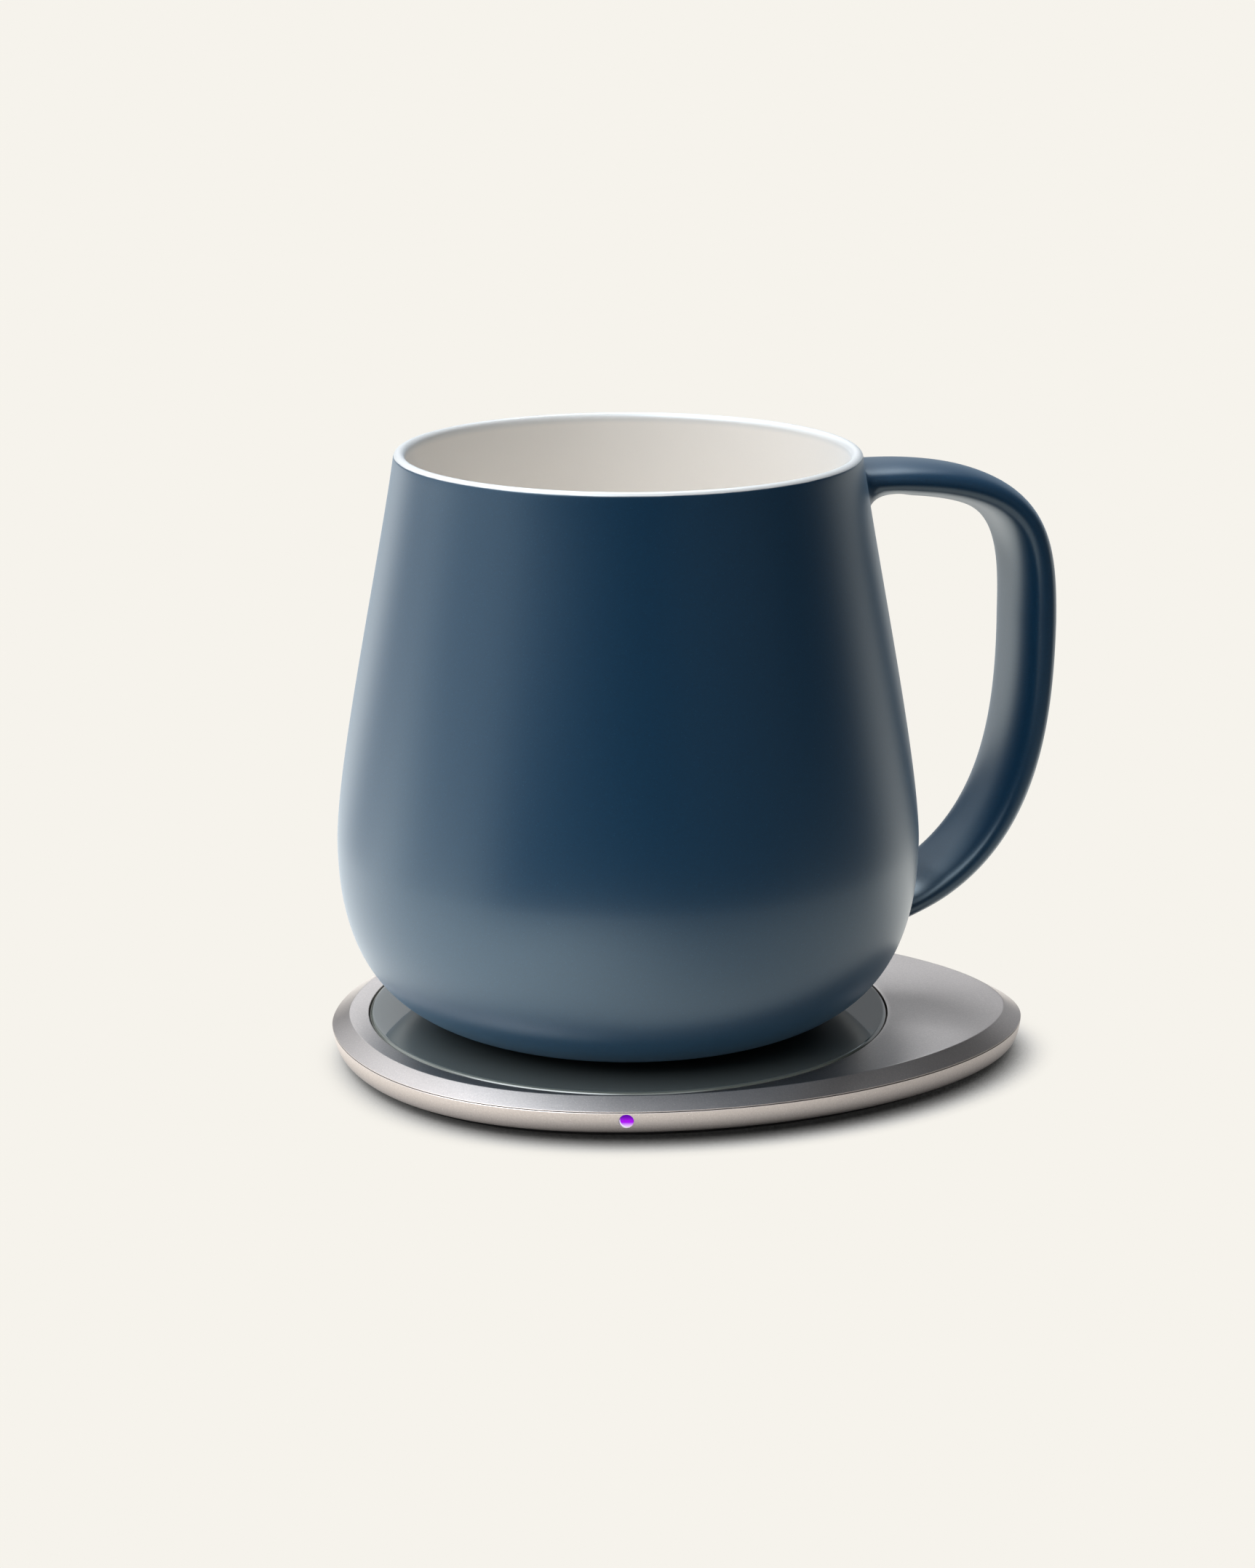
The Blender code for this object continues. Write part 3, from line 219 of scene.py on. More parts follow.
def tidied(mesh: Mesh, merge: float = 0.2e-6) -> Mesh:
    """Merges doubles and turns every face outwards.

    Args:
        mesh: The mesh to change.
        merge: How near two points are to be made one, in metres.

    Returns:
        The same mesh.
    """
    shape = bmesh.new()
    shape.from_mesh(mesh)
    bmesh.ops.remove_doubles(shape, verts=shape.verts, dist=merge)
    bmesh.ops.recalc_face_normals(shape, faces=shape.faces)
    return written(shape, mesh)


def shaded(mesh: Mesh, degrees: float) -> Mesh:
    """Shades the mesh smooth, apart from edges sharper than this many degrees."""
    mesh.shade_smooth()
    mesh.set_sharp_from_angle(angle=math.radians(degrees))
    return mesh


def skin(name: str, rings: list[Rows], closed: bool = False) -> Mesh:
    """A mesh of quads through rings of equally many points.

    Args:
        name: The mesh's name.
        rings: The rings, each with its points as rows.
        closed: True to join the last ring to the first. Otherwise both ends get a face.

    Returns:
        The mesh.
    """
    shape = bmesh.new()
    loops = [[shape.verts.new(p) for p in ring] for ring in rings]
    for low, high in zip(loops, loops[1:] + loops[:1] if closed else loops[1:]):
        for i in range(len(low)):
            shape.faces.new((low[i - 1], low[i], high[i], high[i - 1]))
    if not closed:
        shape.faces.new(loops[0])
        shape.faces.new(loops[-1])
    return tidied(written(shape, bpy.data.meshes.new(name)))


class Tree:
    """A short way to add and join nodes in one node tree."""

    def __init__(self, tree: NodeTree) -> None:
        """Keeps the tree that the nodes go into."""
        self.tree = tree

    def fill(self, node: Node, inputs: dict) -> Node:
        """Joins or sets some inputs of a node, with an alpha of 1 on a colour.

        Args:
            node: The node.
            inputs: Values or output sockets by input name or number.

        Returns:
            The same node.
        """
        for key, value in inputs.items():
            socket = node.inputs[key]
            if isinstance(value, NodeSocket):
                self.tree.links.new(value, socket)
            else:
                socket.default_value = (*value, 1.0) if socket.type == "RGBA" else value
        return node

    def add(self, kind: str, inputs: dict | None = None, **settings: object) -> Node:
        """Adds a node.

        Args:
            kind: The node's type name.
            inputs: Values or output sockets by input name or number.
            settings: The node's own properties.

        Returns:
            The node.
        """
        node = self.tree.nodes.new(kind)
        for key, value in settings.items():
            setattr(node, key, value)
        return self.fill(node, inputs or {})

    def here(self) -> NodeSocket:
        """The place of the point in the model's frame."""
        return self.add("ShaderNodeTexCoord").outputs["Object"]

    def maths(self, operation: str, *values: object) -> NodeSocket:
        """A Math node's result for these values or sockets."""
        return self.add("ShaderNodeMath", dict(enumerate(values)), operation=operation).outputs[0]

    def vector(self, operation: str, *values: object) -> NodeSocket:
        """A Vector Math node's result, a number for a length or a dot product."""
        node = self.add("ShaderNodeVectorMath", dict(enumerate(values)), operation=operation)
        return node.outputs["Value" if operation in ("LENGTH", "DOT_PRODUCT") else "Vector"]

    def noise(self, where: NodeSocket, scale: object, detail: float = 2.0) -> NodeSocket:
        """Noise of this scale and detail, from 0 to 1."""
        inputs = {"Vector": where, "Scale": scale, "Detail": detail}
        return self.add("ShaderNodeTexNoise", inputs).outputs[0]

    def mixed(self, factor: object, first: object, second: object) -> NodeSocket:
        """The colour between two colours or sockets at this factor."""
        inputs = {0: factor, 6: first, 7: second}
        return self.add("ShaderNodeMix", inputs, data_type="RGBA").outputs[2]

    def between(self, factor: NodeSocket, first: object, second: object) -> NodeSocket:
        """The number between two numbers or sockets at this factor."""
        inputs = {0: factor, 2: first, 3: second}
        return self.add("ShaderNodeMix", inputs, data_type="FLOAT").outputs[0]

    def ramp(self, value: NodeSocket, low: object, high: object, ends: Pair = (0, 1)) -> NodeSocket:
        """The first end below low and the second above high, smooth between them."""
        inputs = {0: value, 1: low, 2: high, 3: ends[0], 4: ends[1]}
        node = self.add("ShaderNodeMapRange", inputs, interpolation_type="SMOOTHSTEP")
        return node.outputs[0]

    def zone(self, value: NodeSocket, ends: Pair) -> NodeSocket:
        """0 where a zone in millimetres starts and 1 where it is full, smooth between them."""
        return self.ramp(value, ends[0] * MM, ends[1] * MM)


def new_material(name: str) -> tuple[Material, Tree, Node]:
    """A new material, with its tree and its Principled BSDF."""
    made = bpy.data.materials.new(name)
    made.use_nodes = True
    return made, Tree(made.node_tree), made.node_tree.nodes["Principled BSDF"]


def new_group(name: str, kind: str, inputs: dict[str, str], outputs: dict[str, str]) -> Tree:
    """An empty node group with its sockets.

    Args:
        name: The group's name.
        kind: Shader or Geometry.
        inputs: Each input's type by its name, such as Float.
        outputs: Each output's type by its name.

    Returns:
        The group's tree.
    """
    group = bpy.data.node_groups.new(name, kind + "NodeTree")
    for side, sockets in (("INPUT", inputs), ("OUTPUT", outputs)):
        for label, value in sockets.items():
            group.interface.new_socket(label, in_out=side, socket_type="NodeSocket" + value)
    return Tree(group)


def grain_group(broad_share: float = 0.03) -> NodeTree:
    """The shader group for fine surface grain, which every finish uses at its own scale.

    Args:
        broad_share: The scale of the broad grain beside that of the fine grain.

    Returns:
        The group, with Coordinates, Scale and Spread in, and Tone, Sheen and Height out.
    """
    found = bpy.data.node_groups.get("surface_grain")
    if found:
        return found
    tree = new_group(
        "surface_grain",
        "Shader",
        {"Coordinates": "Vector", "Scale": "Float", "Spread": "Float"},
        {"Tone": "Float", "Sheen": "Float", "Height": "Float"},
    )
    given = tree.add("NodeGroupInput").outputs
    fine = tree.noise(given["Coordinates"], given["Scale"], 3.0)
    broad_scale = tree.maths("MULTIPLY", given["Scale"], broad_share)
    broad = tree.noise(given["Coordinates"], broad_scale)
    fine_part, broad_part = (
        tree.maths("MULTIPLY", tree.maths("SUBTRACT", noise, 0.5), given["Spread"])
        for noise in (fine, broad)
    )
    tone = tree.maths("ADD", 1.0, tree.maths("ADD", fine_part, broad_part))
    sheen = tree.maths("ADD", 1.0, broad_part)
    tree.add("NodeGroupOutput", {"Tone": tone, "Sheen": sheen, "Height": fine})
    return tree.tree


def fleck_group(smallest: float = 0.12, spread: float = 0.28, core: float = 0.55) -> NodeTree:
    """The shader group for round flecks of mixed size, as in speckled glaze.

    Args:
        smallest: The smallest fleck's radius, in cells.
        spread: How much larger the largest is.
        core: The part of a fleck's radius inside its soft edge.

    Returns:
        The group, with Coordinates, Scale and Share in, and Flecks and Strength out.
    """
    found = bpy.data.node_groups.get("flecks")
    if found:
        return found
    tree = new_group(
        "flecks",
        "Shader",
        {"Coordinates": "Vector", "Scale": "Float", "Share": "Float"},
        {"Flecks": "Float", "Strength": "Float"},
    )
    given = tree.add("NodeGroupInput").outputs
    cells = tree.add(
        "ShaderNodeTexVoronoi",
        {"Vector": given["Coordinates"], "Scale": given["Scale"]},
        feature="F1",
    ).outputs
    channels = tree.add("ShaderNodeSeparateColor", {0: cells["Color"]}).outputs
    kept = tree.maths("LESS_THAN", channels[0], given["Share"])
    size = tree.maths("MULTIPLY_ADD", channels[1], spread, smallest)
    spot = tree.ramp(cells["Distance"], tree.maths("MULTIPLY", size, core), size, (1, 0))
    flecks = tree.maths("MULTIPLY", spot, kept)
    tree.add("NodeGroupOutput", {"Flecks": flecks, "Strength": channels[2]})
    return tree.tree


@dataclass(frozen=True)
class Finish:
    """A plain finish with its own grain in colour, gloss and relief.

    Attributes:
        name: The material's name, which is also the record's slot.
        colour: Its linear colour.
        roughness: Its roughness.
        metallic: 1 for bare metal.
        grain: Grain cells for each metre.
        spread: How far the grain moves the colour, as a share.
        relief: The grain's height in millimetres.
    """

    name: str
    colour: Colour
    roughness: float
    metallic: float = 0.0
    grain: float = 1500.0
    spread: float = 0.15
    relief: float = 0.01

    def start(self) -> tuple[Material, Tree, Node, Node]:
        """A new node material, with the grain in its roughness and relief.

        Returns:
            The material, its tree, its Principled BSDF and the placed grain group.
        """
        made, tree, shader = new_material(self.name)
        tree.fill(shader, {"Metallic": self.metallic, "Roughness": self.roughness})
        inputs = {"Coordinates": tree.here(), "Scale": self.grain, "Spread": self.spread}
        grain = tree.add("ShaderNodeGroup", inputs, node_tree=grain_group())
        gloss = tree.maths("MULTIPLY", grain.outputs["Sheen"], self.roughness)
        tree.fill(shader, {"Roughness": gloss})
        if self.relief:
            height = grain.outputs["Height"]
            inputs = {"Height": height, "Distance": self.relief * MM, "Strength": 1.0}
            tree.fill(shader, {"Normal": tree.add("ShaderNodeBump", inputs).outputs[0]})
        return made, tree, shader, grain

    def toned(self, share: float) -> Colour:
        """The colour, lighter by this share, or darker where it is below 0."""
        return tuple(min(1.0, c * (1 + share)) for c in self.colour)

    def varied(self, tree: Tree, grain: NodeSocket, spread: float) -> NodeSocket:
        """The colour, made darker and lighter by up to this share with the grain."""
        return tree.mixed(grain, self.toned(-spread), self.toned(spread))

    def flecks(self, tree: Tree, cells: float, share: float) -> NodeSocket:
        """Places the fleck group.

        Args:
            tree: The material's tree.
            cells: Cells for each metre.
            share: The share of cells with a fleck.

        Returns:
            The mask socket, with each fleck at its own strength.
        """
        inputs = {"Coordinates": tree.here(), "Scale": cells, "Share": share}
        made = tree.add("ShaderNodeGroup", inputs, node_tree=fleck_group()).outputs
        return tree.maths("MULTIPLY", made["Flecks"], made["Strength"])

    def build(self) -> Material:
        """The finished material."""
        made, tree, shader, grain = self.start()
        colour = self.varied(tree, grain.outputs["Height"], self.spread)
        tree.fill(shader, {"Base Color": colour})
        return made


@dataclass(frozen=True)
class SpeckledGlaze(Finish):
    """The mug's glaze: matte speckled blue outside, glossy white inside and over the lip.

    Lengths across the glaze's edge are in millimetres, above 0 on the blue side.

    Attributes:
        white: The inside's linear colour.
        white_roughness: The inside's roughness.
        lip: The white's darker colour over the lip.
        lip_zone: Where the white starts to turn into that, and where it is full.
        edge_wander: How far the blue's edge wanders.
        edge_scale: The scale of that wandering.
        edge_width: How wide the blue's soft edge is.
        fleck_light: The colour of the light flecks.
        fleck_dark: The colour of the dark flecks.
        fleck_cells: Cells for each metre, of the light and the dark flecks.
        fleck_share: The share of cells with a fleck.
        ior: The glaze's index of refraction.
        gloss_tint: The colour of what it reflects face on.
        haze: How much the matte glaze pales towards its edges.
        haze_roughness: How far that haze spreads.
        haze_tint: The colour of that haze.
    """

    white: Colour = (0.955, 0.893, 0.828)
    white_roughness: float = 0.3
    lip: Colour = (0.74, 0.725, 0.705)
    lip_zone: Pair = (-3.4, -1.9)
    edge_wander: float = 0.12
    edge_scale: float = 300.0
    edge_width: float = 0.16
    fleck_light: Colour = (0.012, 0.056, 0.112)
    fleck_dark: Colour = (0.0, 0.010, 0.030)
    fleck_cells: Pair = (3400.0, 4658.0)
    fleck_share: float = 0.42
    ior: float = 1.83
    gloss_tint: Colour = (0.75, 0.91, 1.0)
    haze: float = 0.2
    haze_roughness: float = 0.45
    haze_tint: Colour = (0.45, 0.72, 1.0)

    def build(self) -> Material:
        """The finished material."""
        made, tree, shader, grain = self.start()
        blue = self.varied(tree, grain.outputs["Height"], self.spread)
        for cells, fleck in zip(self.fleck_cells, (self.fleck_light, self.fleck_dark)):
            blue = tree.mixed(self.flecks(tree, cells, self.fleck_share), blue, fleck)
        line = tree.add("ShaderNodeAttribute", attribute_name=GLAZE_LINE).outputs["Fac"]
        wander = tree.noise(tree.here(), self.edge_scale)
        edge = tree.maths("MULTIPLY_ADD", wander, self.edge_wander * MM, line)
        outside = tree.zone(edge, (0.0, self.edge_width))
        over_lip = tree.zone(line, self.lip_zone)
        white = tree.mixed(over_lip, self.white, self.lip)
        inputs = {
            "Base Color": tree.mixed(outside, white, blue),
            "Roughness": tree.between(outside, self.white_roughness, self.roughness),
            "IOR": self.ior,
            "Specular Tint": self.gloss_tint,
            "Sheen Weight": self.haze,
            "Sheen Roughness": self.haze_roughness,
            "Sheen Tint": self.haze_tint,
        }
        tree.fill(shader, inputs)
        return made


@dataclass(frozen=True)
class SparklingMetal(Finish):
    """The pad's fine bead-blasted metal, with small bright and dark flecks.

    Attributes:
        sparkle: How much lighter a bright fleck is, as a share.
        sparkle_cells: Fleck cells for each metre.
        sparkle_share: The share of cells with a fleck.
    """

    sparkle: float = 0.5
    sparkle_cells: float = 5200.0
    sparkle_share: float = 0.5

    def build(self) -> Material:
        """The finished material."""
        made, tree, shader, grain = self.start()
        colour = self.varied(tree, grain.outputs["Height"], self.spread)
        mask = self.flecks(tree, self.sparkle_cells, self.sparkle_share)
        tree.fill(shader, {"Base Color": tree.mixed(mask, colour, self.toned(self.sparkle))})
        return made


@dataclass(frozen=True)
class PlateGlass(Finish):
    """The warming plate's glossy tinted glass, printed opaque from behind.

    Attributes:
        ior: The glass's index of refraction.
        coat_roughness: How rough its polished face is.
        painted_bevel_light: The paler colour of the rounded edge, where light comes out of the glass.
        bevel_zone: Where that edge starts and is full, in millimetres from the plate's axis.
        tint_spread: How far the tint wanders, as a share.
    """

    ior: float = 1.8
    # painted_bevel_light: Painted light on the rounded edge: a paler colour where light comes out
    # of the glass.
    coat_roughness: float = 0.02
    painted_bevel_light: Colour = (0.125, 0.135, 0.115)
    bevel_zone: Pair = (40.62, 40.87)
    tint_spread: float = 0.04

    def build(self) -> Material:
        """The finished material."""
        made, tree, shader, grain = self.start()
        colour = self.varied(tree, grain.outputs["Tone"], self.tint_spread)
        reach = tree.vector("LENGTH", tree.vector("MULTIPLY", tree.here(), (1, 1, 0)))
        # Painted light: the rounded edge is made paler, where light comes out of the glass
        colour = tree.mixed(tree.zone(reach, self.bevel_zone), colour, self.painted_bevel_light)
        tree.fill(shader, {"Base Color": colour, "IOR": self.ior})
        tree.fill(shader, {"Coat Weight": 1.0, "Coat Roughness": self.coat_roughness})
        return made


@dataclass(frozen=True)
class LitLens(Finish):
    """The indicator's clear lens, lit violet from behind and paler towards its foot.

    Attributes:
        middle: The lens face's middle in the model's frame.
        radius: Its radius.
        gloss: How strongly its face reflects.
        deep: The glow's colour at the top.
        full: Its colour across the middle.
        pale: Its colour at the foot.
        deep_zone: Where the full glow turns deep, as shares of the lens's height.
        pale_zone: Where the pale glow turns full.
        painted_crescents: A painted highlight, a pale crescent, and a painted shadow, a dark
            crescent at
        the far edge, both mixed into the glow. Each has its middle right and up of the lens's own,
        where it starts and is full, all in lens radii, and its colour.
    """

    middle: tuple[float, float, float] = (0.0, 0.0, 0.0)
    radius: float = 1.08 * MM
    gloss: float = 0.12
    deep: Colour = (0.13, 0.0, 0.42)
    full: Colour = (0.40, 0.0, 0.84)
    pale: Colour = (0.78, 0.45, 1.0)
    deep_zone: Pair = (0.45, 0.8)
    pale_zone: Pair = (0.12, 0.42)
    painted_crescents: tuple = (
        (0.22, 0.20, 1.02, 1.12, (0.86, 0.84, 0.95)),
        (0.10, -0.02, 0.98, 1.03, (0.05, 0.03, 0.07)),
    )

    def build(self) -> Material:
        """The finished material."""
        made, tree, shader, _ = self.start()
        tree.fill(shader, {"Base Color": self.colour, "Specular IOR Level": self.gloss})
        where = tree.here()
        height = tree.add("ShaderNodeSeparateXYZ", {0: where}).outputs[2]
        low, high = self.middle[2] - self.radius, self.middle[2] + self.radius
        rise = tree.add("ShaderNodeMapRange", {0: height, 1: low, 2: high}).outputs[0]
        upper = tree.mixed(tree.ramp(rise, *self.deep_zone), self.full, self.deep)
        glow = tree.mixed(tree.ramp(rise, *self.pale_zone), self.pale, upper)
        # Painted highlight and painted shadow: a pale crescent and a dark crescent mixed into the
        # glow
        for along, up, start, end, colour in self.painted_crescents:
            shift = (along * self.radius, 0.0, up * self.radius)
            place = tuple(m + s for m, s in zip(self.middle, shift))
            off = tree.vector("SUBTRACT", where, place)
            reach = tree.vector("LENGTH", tree.vector("MULTIPLY", off, (1, 0, 1)))
            painted_crescent_mask = tree.ramp(reach, start * self.radius, end * self.radius)
            glow = tree.mixed(painted_crescent_mask, glow, colour)
        tree.fill(shader, {"Emission Color": glow, "Emission Strength": 1.0})
        return made


def turned_tree() -> NodeTree:
    """The Geometry Nodes tree that turns a profile about Z.

    Returns:
        The tree. Its inputs are the profile's points in order, Segments and Finish. The
        profile's glaze line is carried on to the turned form.
    """
    found = bpy.data.node_groups.get("turned_form")
    if found:
        return found
    tree = new_group(
        "turned_form",
        "Geometry",
        {"Geometry": "Geometry", "Segments": "Int", "Finish": "Material"},
        {"Geometry": "Geometry"},
    )
    given = tree.add("NodeGroupInput").outputs
    count = tree.add("GeometryNodeAttributeDomainSize", {0: given["Geometry"]}).outputs[0]
    columns = tree.maths("ADD", given["Segments"], 1.0)
    inputs = {"Size X": 1.0, "Size Y": 1.0, "Vertices X": count, "Vertices Y": columns}
    form = tree.add("GeometryNodeMeshGrid", inputs).outputs[0]
    position = tree.add("GeometryNodeInputPosition").outputs[0]
    place = tree.add("ShaderNodeSeparateXYZ", {0: position}).outputs
    last = tree.maths("SUBTRACT", count, 1.0)
    row = tree.maths("ROUND", tree.maths("MULTIPLY", tree.maths("ADD", place[0], 0.5), last))
    turn = tree.maths("MULTIPLY", tree.maths("ADD", place[1], 0.5), 2 * math.pi)
    named = tree.add("GeometryNodeInputNamedAttribute", {"Name": GLAZE_LINE}, data_type="FLOAT")
    point, line = (
        tree.add(
            "GeometryNodeSampleIndex",
            {"Geometry": given["Geometry"], "Value": value, "Index": row},
            data_type=kind,
        ).outputs[0]
        for value, kind in ((position, "FLOAT_VECTOR"), (named.outputs[0], "FLOAT"))
    )
    parts = tree.add("ShaderNodeSeparateXYZ", {0: point}).outputs
    across = tree.maths("MULTIPLY", parts[0], tree.maths("COSINE", turn))
    away = tree.maths("MULTIPLY", parts[0], tree.maths("SINE", turn))
    spot = tree.add("ShaderNodeCombineXYZ", {0: across, 1: away, 2: parts[2]}).outputs[0]
    for kind, inputs in (
        ("StoreNamedAttribute", {"Name": GLAZE_LINE, "Value": line}),
        ("SetPosition", {"Position": spot}),
        ("MergeByDistance", {"Distance": 1e-7}),
        ("RealizeInstances", {}),
        ("SetMaterial", {"Material": given["Finish"]}),
    ):
        form = tree.add("GeometryNode" + kind, {0: form, **inputs}).outputs[0]
    tree.add("NodeGroupOutput", {0: form})
    return tree.tree


def turned(
    name: str,
    profile: Rows,
    finish: Material,
    segments: int,
    line: Rows | None = None,
) -> Mesh:
    """Turns a profile about Z with the Geometry Nodes tree.

    Args:
        name: The mesh's name.
        profile: Rows of radius and height.
        finish: The material.
        segments: How many steps round.
        line: How far past the glaze line each point is, in metres, or None for none.

    Returns:
        The plain closed mesh.
    """
    source = bpy.data.meshes.new(name + "_profile")
    points = [(r, 0.0, h) for r, h in profile]
    source.from_pydata(points, [(i, i + 1) for i in range(len(points) - 1)], [])
    guide = linked(source.name, marked(source, np.zeros(len(points)) if line is None else line))
    modifier = guide.modifiers.new("turned", "NODES")
    modifier.node_group = turned_tree()
    sockets = {s.name: s.identifier for s in modifier.node_group.interface.items_tree}
    modifier[sockets["Segments"]] = segments
    modifier[sockets["Finish"]] = finish
    mesh = baked(guide)
    mesh.name = name
    return tidied(mesh)


@dataclass
class Vessel:
    """The mug: its turned body and its strap handle, one fired piece with two glazes.

    Sizes are in millimetres from the mug's foot plane, as in the CAD source. A pull is a
    share of the run that its curve covers.
    """

    base: float = 6.9
    height: float = 89.6
    turn: float = 15.9
    wall: float = 3.2
    floor: float = 6.0
    floor_pull: float = 0.66
    rim_radius: float = 36.06
    rim_wall: float = 1.8
    rim_lean: float = 8.3
    rim_pull: float = 0.25
    belly_radius: float = 45.73
    belly_height: float = 28.1
    belly_pull_up: float = 0.19
    belly_pull_down: float = 0.73
    belly_pull_inside: float = 0.86
    foot_radius: float = 26.2
    foot_width: float = 3.4
    foot_rise: float = 8.6
    foot_pull: float = 0.53
    recess_height: float = 2.9
    inner_floor_radius: float = 20.0
    white_past_lip: float = 70.0
    handle_reach: float = 68.53
    handle_reach_height: float = 57.4
    handle_top_height: float = 83.1
    handle_top_root: float = 35.7
    handle_top_pull: float = 31.0
    handle_outer_up: float = 17.3
    handle_outer_down: float = 18.9
    handle_low_root: float = 40.8
    handle_low_height: float = 11.9
    handle_low_rise: float = 13.2
    handle_low_pull: float = 25.5
    handle_width: float = 16.0
    handle_thickness: tuple[float, float, float] = (5.0, 6.6, 5.1)
    handle_thickest: float = 0.45
    handle_roundness: float = 2.3
    handle_rings: int = 110
    root_search: float = 30.0
    root_ring: int = 3
    fillet_inner: Pair = (6.6, 4.6)
    fillet_outer: float = 1.0
    fillet_clear: float = 1.5
    fillet_rings: int = 15
    fillet_sunk: float = 0.25
    sides: int = 56
    blend_steps: int = 9

    def profile(self) -> tuple[Rows, Rows]:
        """The turned outline from the inner floor, over the lip and round to the recess.

        Returns:
            Rows of radius and height, and each point's distance past the glaze line.
        """
        lean, lip_radius = math.radians(self.rim_lean), self.rim_wall / 2
        lip = np.array([self.rim_radius - lip_radius, self.height - lip_radius])
        across = aim(self.rim_lean)[:2]
        inner_end, outer_start = lip - lip_radius * across, lip + lip_radius * across
        side = self.height - self.belly_height
        belly = np.array([self.belly_radius, self.belly_height])
        inner_belly = belly - (self.wall, 0)
        floor = np.array([self.inner_floor_radius, self.floor])
        foot = np.array([self.foot_radius, 0.0])
        up = np.array([0, self.belly_pull_up * side])
        down = self.rim_pull * side * np.array([across[1], -across[0]])
        out = (self.floor_pull * (inner_belly[0] - floor[0]), 0)
        inside = (0, self.belly_pull_inside * (self.belly_height - self.floor))
        along = self.foot_pull * (self.belly_radius - self.foot_radius) * aim(self.foot_rise)[:2]
        under = (0, self.belly_pull_down * self.belly_height)
        inner_foot = self.foot_radius - self.foot_width
        recess = [(inner_foot, 0.0), (inner_foot, self.recess_height), (0.0, self.recess_height)]
        parts = [
            np.array([[0.0, self.floor]]),
            bezier(floor, floor + out, inner_belly - inside, inner_belly, 36),
            bezier(inner_belly, inner_belly + up, inner_end + down, inner_end, 40)[1:],
            arc(lip, lip_radius, lean + math.pi, lean, 24)[1:],
            bezier(outer_start, outer_start + down, belly + up, belly, 48)[1:],
            bezier(belly, belly - under, foot + along, foot, 48)[1:],
            np.array(recess),
        ]
        points = np.vstack(parts)
        runs = run_lengths(points)
        lip_end = sum(len(p) for p in parts[:4]) - 1
        quarter = math.radians(90 - self.white_past_lip) * lip_radius
        return points, runs - runs[lip_end] + quarter

    def outer_radius(self, heights: Rows) -> Rows:
        """The outer wall's radius at these heights."""
        points, _ = self.profile()
        outer = points[int(np.argmax(points[:, 1])) : -3][::-1]
        return np.interp(heights, outer[:, 1], outer[:, 0])

    def clearance(self, points: Rows) -> Rows:
        """How far outside the outer wall each of these points is."""
        return np.hypot(points[:, 0], points[:, 1]) - self.outer_radius(points[:, 2])

    def path(self) -> Rows:
        """The handle's middle line as rows of reach and height, evenly spaced."""
        top = np.array([self.handle_top_root, self.handle_top_height])
        outer = np.array([self.handle_reach, self.handle_reach_height])
        low = np.array([self.handle_low_root, self.handle_low_height])
        leave = low + self.handle_low_pull * aim(self.handle_low_rise)[:2]
        above, below = outer + (0, self.handle_outer_up), outer - (0, self.handle_outer_down)
        upper = bezier(top, top + (self.handle_top_pull, 0), above, outer, 80)
        lower = bezier(outer, below, leave, low, 80)
        return spaced(np.vstack([upper, lower[1:]]), self.handle_rings)

    def section(self, path: Rows, i: int) -> Rows:
        """One flat oval section of the strap.

        Args:
            path: The handle's middle line.
            i: Which point of it.

        Returns:
            Rows of reach, side and height.
        """
        ahead = path[min(i + 1, len(path) - 1)] - path[max(i - 1, 0)]
        ahead = ahead / np.linalg.norm(ahead)
        outward = np.array([-ahead[1], ahead[0]])
        share = i / (len(path) - 1)
        depth = np.interp(share, (0, self.handle_thickest, 1), self.handle_thickness) / 2
        turn = point_ring(self.sides)
        x, y = (
            np.sign(wave) * np.abs(wave) ** (2 / self.handle_roundness)
            for wave in (np.cos(turn), np.sin(turn))
        )
        flat = path[i] + depth * x[:, None] * outward
        return np.column_stack([flat[:, 0], self.handle_width / 2 * y, flat[:, 1]])

    def on_wall(self, start: Rows, direction: Rows) -> Rows:
        """Where lines from these points meet the round outer wall.

        Args:
            start: The points as rows, outside the wall.
            direction: The one direction that they run in, towards the axis.

        Returns:
            The points on the wall.
        """
        low, high = np.zeros(len(start)), np.full(len(start), self.root_search)
        for _ in range(40):
            middle = (low + high) / 2
            out = self.clearance(start + middle[:, None] * direction) > 0
            low, high = np.where(out, middle, low), np.where(out, high, middle)
        return start + low[:, None] * direction

    def root(
        self, section: Rows, direction: Rows, inner: Rows, fillet: float
    ) -> list:
        """The rings of one root's fillet, from the strap out onto the wall.

        Args:
            section: The strap's section near the wall.
            direction: The way the strap runs into the wall.
            inner: For each point, 1 on the finger side and 0 on the outer side.
            fillet: The finger side's fillet size.

        Returns:
            The rings, in order towards the wall.
        """
        hit = self.on_wall(section, direction)
        size = (self.fillet_outer + (fillet - self.fillet_outer) * inner)[:, None]
        step = 0.05
        above, below = (self.outer_radius(hit[:, 2] + side) for side in (step, -step))
        slope = (above - below) / 2 / step
        normal = unit(unit(hit * (1, 1, 0)) - slope[:, None] * np.array([0, 0, 1.0]))
        tangent = unit(np.cross(np.roll(hit, -1, axis=0) - np.roll(hit, 1, axis=0), normal))
        tangent *= np.sign(np.sum(tangent * (hit - hit.mean(axis=0)), axis=1))[:, None]
        start, end = hit - size * direction, hit + size * tangent
        rings = []
        for t in np.linspace(0, 1, self.fillet_rings):
            ring = (1 - t) ** 2 * start + 2 * t * (1 - t) * hit + t**2 * end
            wall = self.outer_radius(ring[:, 2])
            ring[:, :2] *= np.maximum(wall / np.hypot(ring[:, 0], ring[:, 1]), 1.0)[:, None]
            rings.append(ring)
        return rings + [rings[-1] - self.fillet_sunk * normal]

